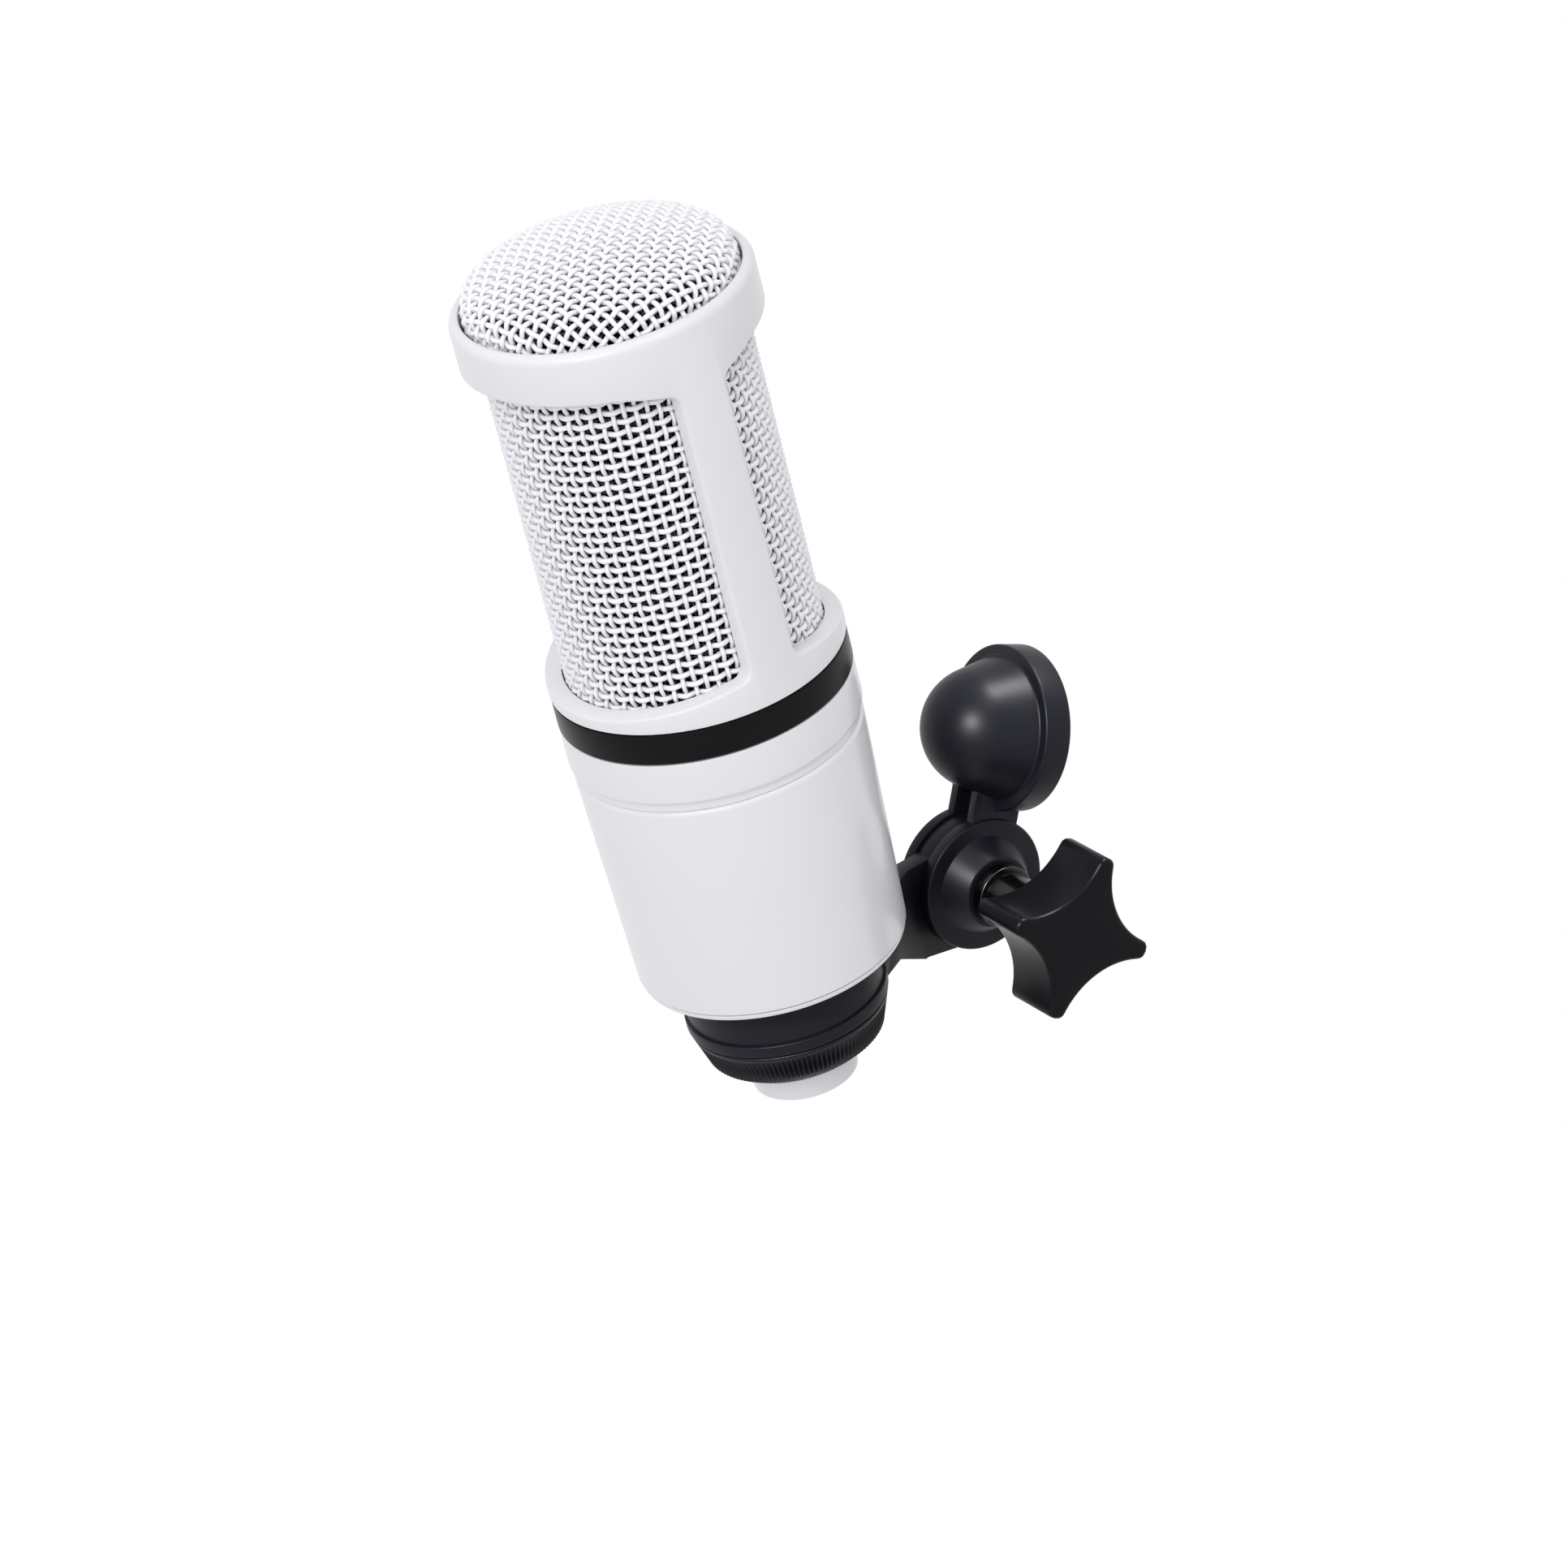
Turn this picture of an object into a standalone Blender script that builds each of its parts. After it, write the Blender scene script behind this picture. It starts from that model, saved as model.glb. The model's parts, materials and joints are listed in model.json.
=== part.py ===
"""Side-address condenser microphone on a pivoting stand mount.

The origin is the centre of the stand thread's mouth. X runs from the microphone to the stand, Y is the
tilt hinge, and Z runs up along the microphone. The microphone stands upright with the stand socket tilted.
"""

import math

import bmesh
import bpy
from mathutils import Matrix, Vector

# Fits
GAP = 0.0003

# Head frame, from its skirt up
HEAD_RADIUS = 0.0259
FRAME_WALL = 0.0030
SKIRT_RADIUS = 0.02575
SKIRT_HEIGHT = 0.0076
BAND_RADIUS = 0.0258
BAND_HEIGHT = 0.00535
BAND_THICKNESS = 0.0010
COLLAR_HEIGHT = 0.0029
WINDOW_HEIGHT = 0.0595
WINDOW_CORNER = 0.0032
COLUMN_WIDTH = 0.0106
HEAD_RING_HEIGHT = 0.0095
HEAD_EDGE = 0.0012
DOME_BORE_WALL = 0.0019
DOME_SEAT_HEIGHT = 0.0035
SPIGOT_LENGTH = 0.0080
SPIGOT_WALL = 0.0016
DECK_DEPTH = 0.0050

# Grille, screen and capsule
GRILLE_DEPTH = 0.0012
GRILLE_STRAND = 0.0011
GRILLE_COLUMNS = 24
GRILLE_ROWS = 8
DOME_RISE = 0.0069
DOME_SHOULDER = 0.0055
DOME_CROWN = 0.0015
DOME_CELLS = 9
SCREEN_WALL = 0.0005
SCREEN_SHOULDER = 0.0040
SCREEN_TOP_GAP = 0.0013
DECK_THICKNESS = 0.0020
LEAD_HOLE_RADIUS = 0.0033
CAPSULE_RADIUS = 0.0120
CAPSULE_LENGTH = 0.0110
CAPSULE_RIM = 0.0020
DIAPHRAGM_RECESS = 0.0010
DIAPHRAGM_THICKNESS = 0.0003
SADDLE_LENGTH = 0.0070
SADDLE_WIDTH = 0.0290
SADDLE_ARM_DROP = 0.0040

# Barrel and chassis
BARREL_HEIGHT = 0.0416
BARREL_TOP_RADIUS = 0.0254
BARREL_BOTTOM_RADIUS = 0.0239
BARREL_WALL = 0.0013
BARREL_EDGE = 0.0010
GROOVE_HEIGHT = 0.0020
BASE_RING_STEP = 0.0004
BASE_RING_THICKNESS = 0.0010
CHASSIS_THICKNESS = 0.0030
STUB_RADIUS = 0.0126
STUB_LENGTH = 0.0185
RAIL_INSET = 0.0053
RAIL_WIDTH = 0.0050
RAIL_THICKNESS = 0.0025
BOARD_HEIGHT = 0.0360
BOARD_THICKNESS = 0.0016
BOARD_LIFT = 0.0040
CAPACITOR_RADIUS = 0.0040
CAPACITOR_LENGTH = 0.0090
CAPACITOR_SPREAD = 0.0070
CAPACITOR_STEP = 0.0110

# Output connector: a three-pin male socket
OUTPUT_RADIUS = 0.0094
OUTPUT_WALL = 0.0013
OUTPUT_PROJECTION = 0.0067
OUTPUT_FLANGE = 0.0020
INSERT_THICKNESS = 0.0060
INSERT_DEPTH = 0.0150
PIN_RADIUS = 0.0012
PIN_CIRCLE = 0.0040
PIN_RECESS = 0.0030
PIN_TAIL = 0.0030
PIN_ANGLES = {"output_pin_1": 135, "output_pin_2": 45, "output_pin_3": 270}

# Mount ring and locking ring under the barrel
MOUNT_RING_HEIGHT = 0.0112
MOUNT_RING_TOP_RADIUS = 0.0178
MOUNT_RING_RADIUS = 0.0183
MOUNT_LIP_RADIUS = 0.0187
MOUNT_LIP_HEIGHT = 0.0022
LOCK_RING_HEIGHT = 0.0077
LOCK_RING_TOP_RADIUS = 0.0180
LOCK_RING_BOTTOM_RADIUS = 0.0138
LOCK_RIB_DEPTH = 0.0004
LOCK_RIBS = 48

# Tilt hinge
HINGE_REACH = 0.0410
HINGE_DROP = 0.0071
TONGUE_THICKNESS = 0.0036
TONGUE_RADIUS = 0.0117
ARM_TOP = 0.0015
ARM_CLEARANCE = 0.0009
ARM_KNEE_REACH = 0.0136
ARM_KNEE_DROP = 0.0093
ARM_HEEL_REACH = 0.0206
CREASE_REACH = 0.0129
FLARE_REACH = 0.0243
FLARE_HALF_WIDTH = 0.0083
FORK_RADIUS = 0.0121
FORK_PLATE = 0.0024
STEM_PLATE = 0.0017
BOSS_BASE_RADIUS = 0.0092
BOSS_TOP_RADIUS = 0.0064
BOSS_HEIGHT = 0.0042

# Stand socket
STAND_TILT = math.radians(26.35)
STEM_RISE = 0.0276
STEM_FRONT = 0.0046
STEM_BACK = 0.0051
WEB_SETBACK = 0.0030
SOCKET_RADIUS = 0.0111
SOCKET_CENTRE_DEPTH = 0.00845
SOCKET_FLARE_RADIUS = 0.0128
RIM_RADIUS = 0.0147
RIM_THICKNESS = 0.00545
RIM_EDGE = 0.0006
MOUTH_REACH = 0.00535
THREAD_RADIUS = 0.0079
THREAD_WALL = 0.0012
THREAD_LENGTH = 0.0120
THREAD_RECESS = 0.0005

# Clamp bolt and knob
BOLT_RADIUS = 0.0030
BOLT_COLLAR_RADIUS = 0.0048
BOLT_COLLAR_SINK = 0.0006
BOLT_FLANGE_RADIUS = 0.0056
BOLT_FLANGE_THICKNESS = 0.0023
BOLT_GRIP = 0.0080
KNOB_REACH = 0.0220
KNOB_THICKNESS = 0.0126
KNOB_TIP_RADIUS = 0.0143
KNOB_TIP_WIDTH = 0.0030
KNOB_WAIST_RADIUS = 0.0082
KNOB_EDGE = 0.0008
KNOB_TURN = math.radians(53.5)
NUT_FLATS = 0.0100
NUT_THICKNESS = 0.0042
NUT_SEAT_WALL = 0.0022

# Facets
TURN_STEPS = 36
SMALL_STEPS = 24
CORNER_POINTS = 3
ARC_POINTS = 7
MERGE = 0.00001
SMOOTH_ANGLE = math.radians(35)

# Heights on the microphone, above the seat where the base ring meets the mount ring
BARREL_BOTTOM = BASE_RING_THICKNESS + GAP
BARREL_TOP = BARREL_BOTTOM + BARREL_HEIGHT
SKIRT_BOTTOM = BARREL_TOP + GROOVE_HEIGHT
BAND_BOTTOM = SKIRT_BOTTOM + SKIRT_HEIGHT
COLLAR_BOTTOM = BAND_BOTTOM + BAND_HEIGHT
COLLAR_TOP = COLLAR_BOTTOM + COLLAR_HEIGHT
WINDOW_TOP = COLLAR_TOP + WINDOW_HEIGHT
HEAD_TOP = WINDOW_TOP + HEAD_RING_HEIGHT
SPIGOT_BOTTOM = SKIRT_BOTTOM - SPIGOT_LENGTH
LEDGE = COLLAR_TOP - DECK_DEPTH
DOME_SEAT = WINDOW_TOP + DOME_SEAT_HEIGHT
DECK_BOTTOM = LEDGE + GAP
DECK_TOP = DECK_BOTTOM + DECK_THICKNESS
GRILLE_BOTTOM = DECK_TOP + GAP
GRILLE_TOP = DOME_SEAT
DOME_BOTTOM = DOME_SEAT + GAP
DOME_TOP = HEAD_TOP + DOME_RISE
CHASSIS_BOTTOM = BARREL_BOTTOM
CHASSIS_TOP = CHASSIS_BOTTOM + CHASSIS_THICKNESS
CAPSULE_HEIGHT = COLLAR_TOP + WINDOW_HEIGHT / 2
MOUNT_TOP = -GAP
MOUNT_BOTTOM = MOUNT_TOP - MOUNT_RING_HEIGHT
LOCK_TOP = MOUNT_BOTTOM - GAP
LOCK_BOTTOM = LOCK_TOP - LOCK_RING_HEIGHT
OUTPUT_BOTTOM = LOCK_BOTTOM - OUTPUT_PROJECTION

# Radii and distances that follow
HEAD_BORE = HEAD_RADIUS - FRAME_WALL
GRILLE_RADIUS = HEAD_BORE - GAP
GRILLE_BORE = GRILLE_RADIUS - GRILLE_DEPTH
SCREEN_RADIUS = GRILLE_BORE - GAP
SCREEN_TOP = DOME_TOP - DOME_CROWN - GRILLE_DEPTH - SCREEN_TOP_GAP
DOME_BORE = HEAD_RADIUS - DOME_BORE_WALL
DOME_EDGE = DOME_BORE - GAP
BASE_RING_RADIUS = BARREL_BOTTOM_RADIUS - BASE_RING_STEP
CHASSIS_RADIUS = BARREL_BOTTOM_RADIUS - BARREL_WALL - GAP
RAIL_OFFSET = CHASSIS_RADIUS - RAIL_INSET
STUB_BORE = OUTPUT_RADIUS + GAP
RING_BORE = STUB_RADIUS + GAP
OUTPUT_BORE = OUTPUT_RADIUS - OUTPUT_WALL
INSERT_BOTTOM = OUTPUT_BOTTOM + INSERT_DEPTH
FORK_INSIDE = TONGUE_THICKNESS / 2 + GAP
FORK_OUTSIDE = FORK_INSIDE + FORK_PLATE
PIVOT_BORE = BOLT_RADIUS + GAP
COLLAR_SEAT = FORK_OUTSIDE - BOLT_COLLAR_SINK
BOLT_SEAT = FORK_OUTSIDE + BOSS_HEIGHT + GAP
NUT_RADIUS = NUT_FLATS / math.sqrt(3)
NUT_POCKET_RADIUS = NUT_RADIUS + GAP
THREAD_OUTSIDE = THREAD_RADIUS + THREAD_WALL
SOCKET_BORE = THREAD_OUTSIDE + GAP

parts = bpy.data.collections.new("side_address_microphone")
cutters = bpy.data.collections.new("cutters")


def clear_scene():
    for thing in list(bpy.data.objects):
        bpy.data.objects.remove(thing)
    bpy.context.scene.collection.children.link(parts)
    bpy.context.scene.collection.children.link(cutters)
    cutters.hide_render = True


def material(name, colour, roughness, metallic=0.0):
    made = bpy.data.materials.new(name)
    made.use_nodes = True
    shader = made.node_tree.nodes["Principled BSDF"]
    shader.inputs["Base Color"].default_value = (*colour, 1)
    shader.inputs["Roughness"].default_value = roughness
    shader.inputs["Metallic"].default_value = metallic
    return made


def frame(name, location, tilt=0.0):
    empty = bpy.data.objects.new(name, None)
    empty.empty_display_size = HEAD_RADIUS
    empty.location = location
    empty.rotation_euler = (0, tilt, 0)
    parts.objects.link(empty)
    return empty


def place(name, mesh, parent, finish):
    """A part, or a cutter where there is no finish."""
    piece = bpy.data.objects.new(name, mesh)
    piece.parent = parent
    if finish:
        mesh.materials.append(finish)
        parts.objects.link(piece)
    else:
        piece.hide_render = True
        piece.display_type = "WIRE"
        cutters.objects.link(piece)
    return piece


def rounded(corners):
    """A closed outline through (x, y) corners, rounded where a corner has a radius as its third value."""
    points = []
    for index, corner in enumerate(corners):
        here = Vector(corner[:2])
        radius = corner[2] if len(corner) > 2 else 0
        if not radius:
            points.append(here)
            continue
        back = (Vector(corners[index - 1][:2]) - here).normalized()
        ahead = (Vector(corners[(index + 1) % len(corners)][:2]) - here).normalized()
        half = back.angle(ahead) / 2
        centre = here + (back + ahead).normalized() * radius / math.sin(half)
        start = here + back * radius / math.tan(half) - centre
        sweep = start.angle_signed(here + ahead * radius / math.tan(half) - centre)
        for step in range(CORNER_POINTS + 1):
            points.append(centre + Matrix.Rotation(-sweep * step / CORNER_POINTS, 2) @ start)
    return points


def arc(radius, start, end, count=ARC_POINTS, centre=(0, 0)):
    """Points round a centre from one angle to another."""
    return [
        (centre[0] + radius * math.cos(angle), centre[1] + radius * math.sin(angle))
        for angle in (start + (end - start) * step / count for step in range(count + 1))
    ]


def turned(name, outline, parent, finish, steps=TURN_STEPS):
    """A solid of revolution about Z from (radius, height) points that run down the outside."""
    through = all(point[0] > MERGE for point in outline)
    ends = range(len(outline) if through else len(outline) - 1)
    mesh = bpy.data.meshes.new(name)
    edges = [(index, (index + 1) % len(outline)) for index in ends]
    mesh.from_pydata([(point[0], 0, point[1]) for point in outline], edges, [])
    piece = place(name, mesh, parent, finish)
    turn = piece.modifiers.new("Turn", "SCREW")
    turn.steps = steps
    turn.render_steps = steps
    turn.use_merge_vertices = True
    turn.merge_threshold = MERGE
    return piece


def evaluated_mesh(piece):
    bpy.context.view_layer.update()
    graph = bpy.context.evaluated_depsgraph_get()
    return bpy.data.meshes.new_from_object(piece.evaluated_get(graph))


def plate(name, outline, near, far, parent, finish, lie=Matrix.Rotation(math.pi / 2, 4, "X")):
    """A flat outline in X and Z, from one Y to another. Another lie turns it out of that plane."""
    curve = bpy.data.curves.new(name, "CURVE")
    curve.dimensions = "2D"
    curve.fill_mode = "BOTH"
    curve.extrude = abs(far - near) / 2
    spline = curve.splines.new("POLY")
    spline.points.add(len(outline) - 1)
    for point, (x, y) in zip(spline.points, outline):
        point.co = (x, y, 0, 1)
    spline.use_cyclic_u = True
    flat = bpy.data.objects.new(name + "_outline", curve)
    cutters.objects.link(flat)
    mesh = evaluated_mesh(flat)
    bpy.data.objects.remove(flat)
    shape = bmesh.new()
    shape.from_mesh(mesh)
    bmesh.ops.remove_doubles(shape, verts=shape.verts, dist=MERGE)
    bmesh.ops.translate(shape, verts=shape.verts, vec=(0, 0, -(near + far) / 2))
    bmesh.ops.transform(shape, verts=shape.verts, matrix=lie)
    bmesh.ops.recalc_face_normals(shape, faces=shape.faces)
    shape.to_mesh(mesh)
    shape.free()
    return place(name, mesh, parent, finish)


def box(name, low, high, parent, finish):
    shape = bmesh.new()
    bmesh.ops.create_cube(shape, size=1)
    low, high = Vector(low), Vector(high)
    bmesh.ops.scale(shape, verts=shape.verts, vec=high - low)
    bmesh.ops.translate(shape, verts=shape.verts, vec=(low + high) / 2)
    mesh = bpy.data.meshes.new(name)
    shape.to_mesh(mesh)
    shape.free()
    return place(name, mesh, parent, finish)


def rod(name, radius, start, end, parent, finish, sides=SMALL_STEPS):
    """A cylinder between two points, or a prism with few sides."""
    start, end = Vector(start), Vector(end)
    shape = bmesh.new()
    bmesh.ops.create_cone(
        shape, cap_ends=True, segments=sides, radius1=radius, radius2=radius, depth=(end - start).length
    )
    turn = (end - start).to_track_quat("Z", "Y").to_matrix().to_4x4()
    bmesh.ops.transform(shape, verts=shape.verts, matrix=Matrix.Translation((start + end) / 2) @ turn)
    mesh = bpy.data.meshes.new(name)
    shape.to_mesh(mesh)
    shape.free()
    return place(name, mesh, parent, finish)


def combine(piece, operation, *others):
    for other in others:
        step = piece.modifiers.new(other.name, "BOOLEAN")
        step.operation = operation
        step.object = other
    return piece


def barrel_bore(height):
    """Inner radius of the tapered barrel at a height."""
    share = (height - BARREL_BOTTOM) / BARREL_HEIGHT
    return BARREL_BOTTOM_RADIUS + (BARREL_TOP_RADIUS - BARREL_BOTTOM_RADIUS) * share - BARREL_WALL


def head_frame(parent, finish):
    """Cast frame: spigot, skirt, band seat, collar, two side columns and the ring round the dome."""
    spigot = barrel_bore(SPIGOT_BOTTOM) - GAP
    spigot_bore = spigot - SPIGOT_WALL
    band_seat = BAND_RADIUS - BAND_THICKNESS - GAP
    outline = rounded([
        (HEAD_RADIUS, HEAD_TOP, HEAD_EDGE),
        (HEAD_RADIUS, COLLAR_BOTTOM),
        (band_seat, COLLAR_BOTTOM),
        (band_seat, BAND_BOTTOM),
        (SKIRT_RADIUS, BAND_BOTTOM),
        (SKIRT_RADIUS, SKIRT_BOTTOM, BARREL_EDGE),
        (spigot, SKIRT_BOTTOM),
        (spigot, SPIGOT_BOTTOM),
        (spigot_bore, SPIGOT_BOTTOM),
        (spigot_bore, LEDGE),
        (HEAD_BORE, LEDGE),
        (HEAD_BORE, DOME_SEAT),
        (DOME_BORE, DOME_SEAT),
        (DOME_BORE, HEAD_TOP, DOME_BORE_WALL - HEAD_EDGE),
    ])
    made = turned("head_frame", outline, parent, finish)
    reach = 2 * HEAD_RADIUS
    for side in (-1, 1):
        column = side * COLUMN_WIDTH / 2
        window = rounded([
            (side * reach, COLLAR_TOP),
            (column, COLLAR_TOP, WINDOW_CORNER),
            (column, WINDOW_TOP, WINDOW_CORNER),
            (side * reach, WINDOW_TOP),
        ])
        combine(made, "DIFFERENCE", plate("window_cut", window, -reach, reach, parent, None))
    return made


def trim_band(parent, finish):
    inside = BAND_RADIUS - BAND_THICKNESS
    low = BAND_BOTTOM + GAP
    high = COLLAR_BOTTOM - GAP
    return turned(
        "trim_band", [(BAND_RADIUS, high), (BAND_RADIUS, low), (inside, low), (inside, high)], parent, finish
    )


def lattice(piece):
    """Turns each face of a net into an open gap with strands round it."""
    strands = piece.modifiers.new("Strands", "WIREFRAME")
    strands.thickness = GRILLE_DEPTH
    strands.offset = 0
    strands.use_even_offset = False
    strands.use_boundary = True
    strands.use_replace = True
    return piece


def wall_grille(parent, finish):
    middle = GRILLE_RADIUS - GRILLE_DEPTH / 2
    low = GRILLE_BOTTOM + GRILLE_STRAND / 2
    high = GRILLE_TOP - GRILLE_STRAND / 2
    line = [(middle, high + (low - high) * row / GRILLE_ROWS) for row in range(GRILLE_ROWS + 1)]
    mesh = bpy.data.meshes.new("wall_grille")
    mesh.from_pydata([(x, 0, z) for x, z in line], [(row, row + 1) for row in range(GRILLE_ROWS)], [])
    made = place("wall_grille", mesh, parent, finish)
    turn = made.modifiers.new("Turn", "SCREW")
    turn.steps = GRILLE_COLUMNS
    turn.render_steps = GRILLE_COLUMNS
    turn.use_merge_vertices = True
    turn.merge_threshold = MERGE
    return lattice(made)


def dome_profile(share):
    """Radius and height on the pressed dome at a share of the way from its crown down to its rim."""
    edge = DOME_EDGE - GRILLE_DEPTH / 2
    top = DOME_TOP - GRILLE_DEPTH / 2
    flat = edge - DOME_SHOULDER
    bend = DOME_SHOULDER * math.pi / 2
    wall = top - DOME_CROWN - DOME_SHOULDER - (DOME_BOTTOM + GRILLE_STRAND / 2)
    along = share * (flat + bend + wall)
    if along < flat:
        return along, top - DOME_CROWN * (along / flat) ** 2
    if along < flat + bend:
        turn = (along - flat) / DOME_SHOULDER
        return flat + DOME_SHOULDER * math.sin(turn), top - DOME_CROWN - DOME_SHOULDER * (1 - math.cos(turn))
    return edge, top - DOME_CROWN - DOME_SHOULDER - (along - flat - bend)


def dome_grille(parent, finish):
    """A square net pressed into a dome, so its strands bend round toward the rim."""
    shape = bmesh.new()
    bmesh.ops.create_grid(shape, x_segments=DOME_CELLS, y_segments=DOME_CELLS, size=1)
    for vert in shape.verts:
        x, y = vert.co.xy
        flat = Vector((x * math.sqrt(1 - y * y / 2), y * math.sqrt(1 - x * x / 2)))
        radius, height = dome_profile(min(flat.length, 1.0))
        out = flat.normalized() * radius
        vert.co = (out.x, out.y, height)
    mesh = bpy.data.meshes.new("dome_grille")
    shape.to_mesh(mesh)
    shape.free()
    return lattice(place("dome_grille", mesh, parent, finish))


def inner_screen(parent, finish):
    """Fine black screen behind the grille, closed over the top under the dome."""
    inside = SCREEN_RADIUS - SCREEN_WALL
    centre = (SCREEN_RADIUS - SCREEN_SHOULDER, SCREEN_TOP - SCREEN_SHOULDER)
    outline = [(0, SCREEN_TOP)]
    outline += arc(SCREEN_SHOULDER, math.pi / 2, 0, CORNER_POINTS, centre)
    outline += [(SCREEN_RADIUS, GRILLE_BOTTOM), (inside, GRILLE_BOTTOM)]
    outline += arc(SCREEN_SHOULDER - SCREEN_WALL, 0, math.pi / 2, CORNER_POINTS, centre)
    outline.append((0, SCREEN_TOP - SCREEN_WALL))
    return turned("inner_screen", outline, parent, finish, SMALL_STEPS)


def capsule_deck(parent, finish):
    """Plate on the head frame's ledge that carries the capsule, with the hole for its lead."""
    outline = [
        (GRILLE_RADIUS, DECK_TOP), (GRILLE_RADIUS, DECK_BOTTOM),
        (LEAD_HOLE_RADIUS, DECK_BOTTOM), (LEAD_HOLE_RADIUS, DECK_TOP),
    ]
    return turned("capsule_deck", outline, parent, finish, SMALL_STEPS)


def capsule(parent, body_finish, film_finish):
    """The capsule faces -X, with its film in a recess behind the rim."""
    face = CAPSULE_LENGTH / 2
    film = CAPSULE_RADIUS - CAPSULE_RIM
    outline = [
        (0, face - DIAPHRAGM_RECESS), (film, face - DIAPHRAGM_RECESS), (film, face),
        (CAPSULE_RADIUS, face), (CAPSULE_RADIUS, -face), (0, -face),
    ]
    body = turned("capsule_body", outline, parent, body_finish, SMALL_STEPS)
    low = face - DIAPHRAGM_RECESS + GAP
    high = low + DIAPHRAGM_THICKNESS
    disc = [(0, high), (film - GAP, high), (film - GAP, low), (0, low)]
    diaphragm = turned("capsule_diaphragm", disc, parent, film_finish, SMALL_STEPS)
    for piece in (body, diaphragm):
        piece.location.z = CAPSULE_HEIGHT
        piece.rotation_euler = (0, -math.pi / 2, 0)


def capsule_saddle(parent, finish):
    """Cradle on the deck that holds the capsule from below."""
    low = (-SADDLE_LENGTH / 2, -SADDLE_WIDTH / 2, GRILLE_BOTTOM)
    high = (SADDLE_LENGTH / 2, SADDLE_WIDTH / 2, CAPSULE_HEIGHT - SADDLE_ARM_DROP)
    made = box("capsule_saddle", low, high, parent, finish)
    start = (-CAPSULE_LENGTH, 0, CAPSULE_HEIGHT)
    end = (CAPSULE_LENGTH, 0, CAPSULE_HEIGHT)
    return combine(made, "DIFFERENCE", rod("saddle_cut", CAPSULE_RADIUS + GAP, start, end, parent, None))


def barrel(parent, finish):
    """Tapered sleeve round the electronics."""
    return turned("barrel", rounded([
        (BARREL_TOP_RADIUS, BARREL_TOP, BARREL_EDGE),
        (BARREL_BOTTOM_RADIUS, BARREL_BOTTOM),
        (barrel_bore(BARREL_BOTTOM), BARREL_BOTTOM),
        (barrel_bore(BARREL_TOP), BARREL_TOP),
    ]), parent, finish)


def base_ring(parent, finish):
    """Ring screwed onto the stub that holds the barrel up against the head."""
    return turned("base_ring", rounded([
        (BASE_RING_RADIUS, BASE_RING_THICKNESS),
        (BASE_RING_RADIUS, 0, BASE_RING_THICKNESS / 2),
        (RING_BORE, 0),
        (RING_BORE, BASE_RING_THICKNESS),
    ]), parent, finish)


def chassis_base(parent, finish):
    """Floor of the chassis with the stub that carries the mount ring, the locking ring and the output."""
    return turned("chassis_base", [
        (CHASSIS_RADIUS, CHASSIS_TOP), (CHASSIS_RADIUS, CHASSIS_BOTTOM), (STUB_RADIUS, CHASSIS_BOTTOM),
        (STUB_RADIUS, CHASSIS_BOTTOM - STUB_LENGTH), (STUB_BORE, CHASSIS_BOTTOM - STUB_LENGTH),
        (STUB_BORE, CHASSIS_TOP),
    ], parent, finish, SMALL_STEPS)


def chassis_rails(parent, finish):
    for name, side in (("chassis_rail_left", -1), ("chassis_rail_right", 1)):
        middle = side * RAIL_OFFSET
        low = (-RAIL_WIDTH / 2, middle - RAIL_THICKNESS / 2, CHASSIS_TOP + GAP)
        high = (RAIL_WIDTH / 2, middle + RAIL_THICKNESS / 2, DECK_BOTTOM - GAP)
        box(name, low, high, parent, finish)


def circuit_board(parent, board_finish, capacitor_finish):
    """Board between the rails, with its two coupling capacitors."""
    half = RAIL_OFFSET - RAIL_THICKNESS / 2 - GAP
    low = CHASSIS_TOP + BOARD_LIFT
    face = BOARD_THICKNESS / 2
    box("circuit_board", (-face, -half, low), (face, half, low + BOARD_HEIGHT), parent, board_finish)
    start = face + GAP
    middle = low + BOARD_HEIGHT / 2
    for name, side in (("coupling_capacitor_1", -1), ("coupling_capacitor_2", 1)):
        across = side * CAPACITOR_SPREAD
        height = middle + side * CAPACITOR_STEP / 2
        rod(name, CAPACITOR_RADIUS, (start, across, height), (start + CAPACITOR_LENGTH, across, height),
            parent, capacitor_finish)


def output_socket(parent, shell_finish, insert_finish, pin_finish):
    """Shell, insulator and three pins of the output."""
    flange = CHASSIS_TOP + GAP
    flange_radius = STUB_BORE + OUTPUT_FLANGE
    turned("output_shell", [
        (flange_radius, flange + OUTPUT_WALL), (flange_radius, flange), (OUTPUT_RADIUS, flange),
        (OUTPUT_RADIUS, OUTPUT_BOTTOM), (OUTPUT_BORE, OUTPUT_BOTTOM), (OUTPUT_BORE, flange + OUTPUT_WALL),
    ], parent, shell_finish, SMALL_STEPS)
    insert_top = INSERT_BOTTOM + INSERT_THICKNESS
    radius = OUTPUT_BORE - GAP
    outline = [(0, insert_top), (radius, insert_top), (radius, INSERT_BOTTOM), (0, INSERT_BOTTOM)]
    insert = turned("output_insert", outline, parent, insert_finish, SMALL_STEPS)
    for name, degrees in PIN_ANGLES.items():
        angle = math.radians(degrees)
        x = PIN_CIRCLE * math.cos(angle)
        y = PIN_CIRCLE * math.sin(angle)
        low = OUTPUT_BOTTOM + PIN_RECESS
        high = insert_top + PIN_TAIL
        ends = ((x, y, low), (x, y, high))
        rod(name, PIN_RADIUS, *ends, parent, pin_finish, SMALL_STEPS // 2)
        hole = rod(name + "_cut", PIN_RADIUS + GAP, *ends, parent, None, SMALL_STEPS // 2)
        combine(insert, "DIFFERENCE", hole)


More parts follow.
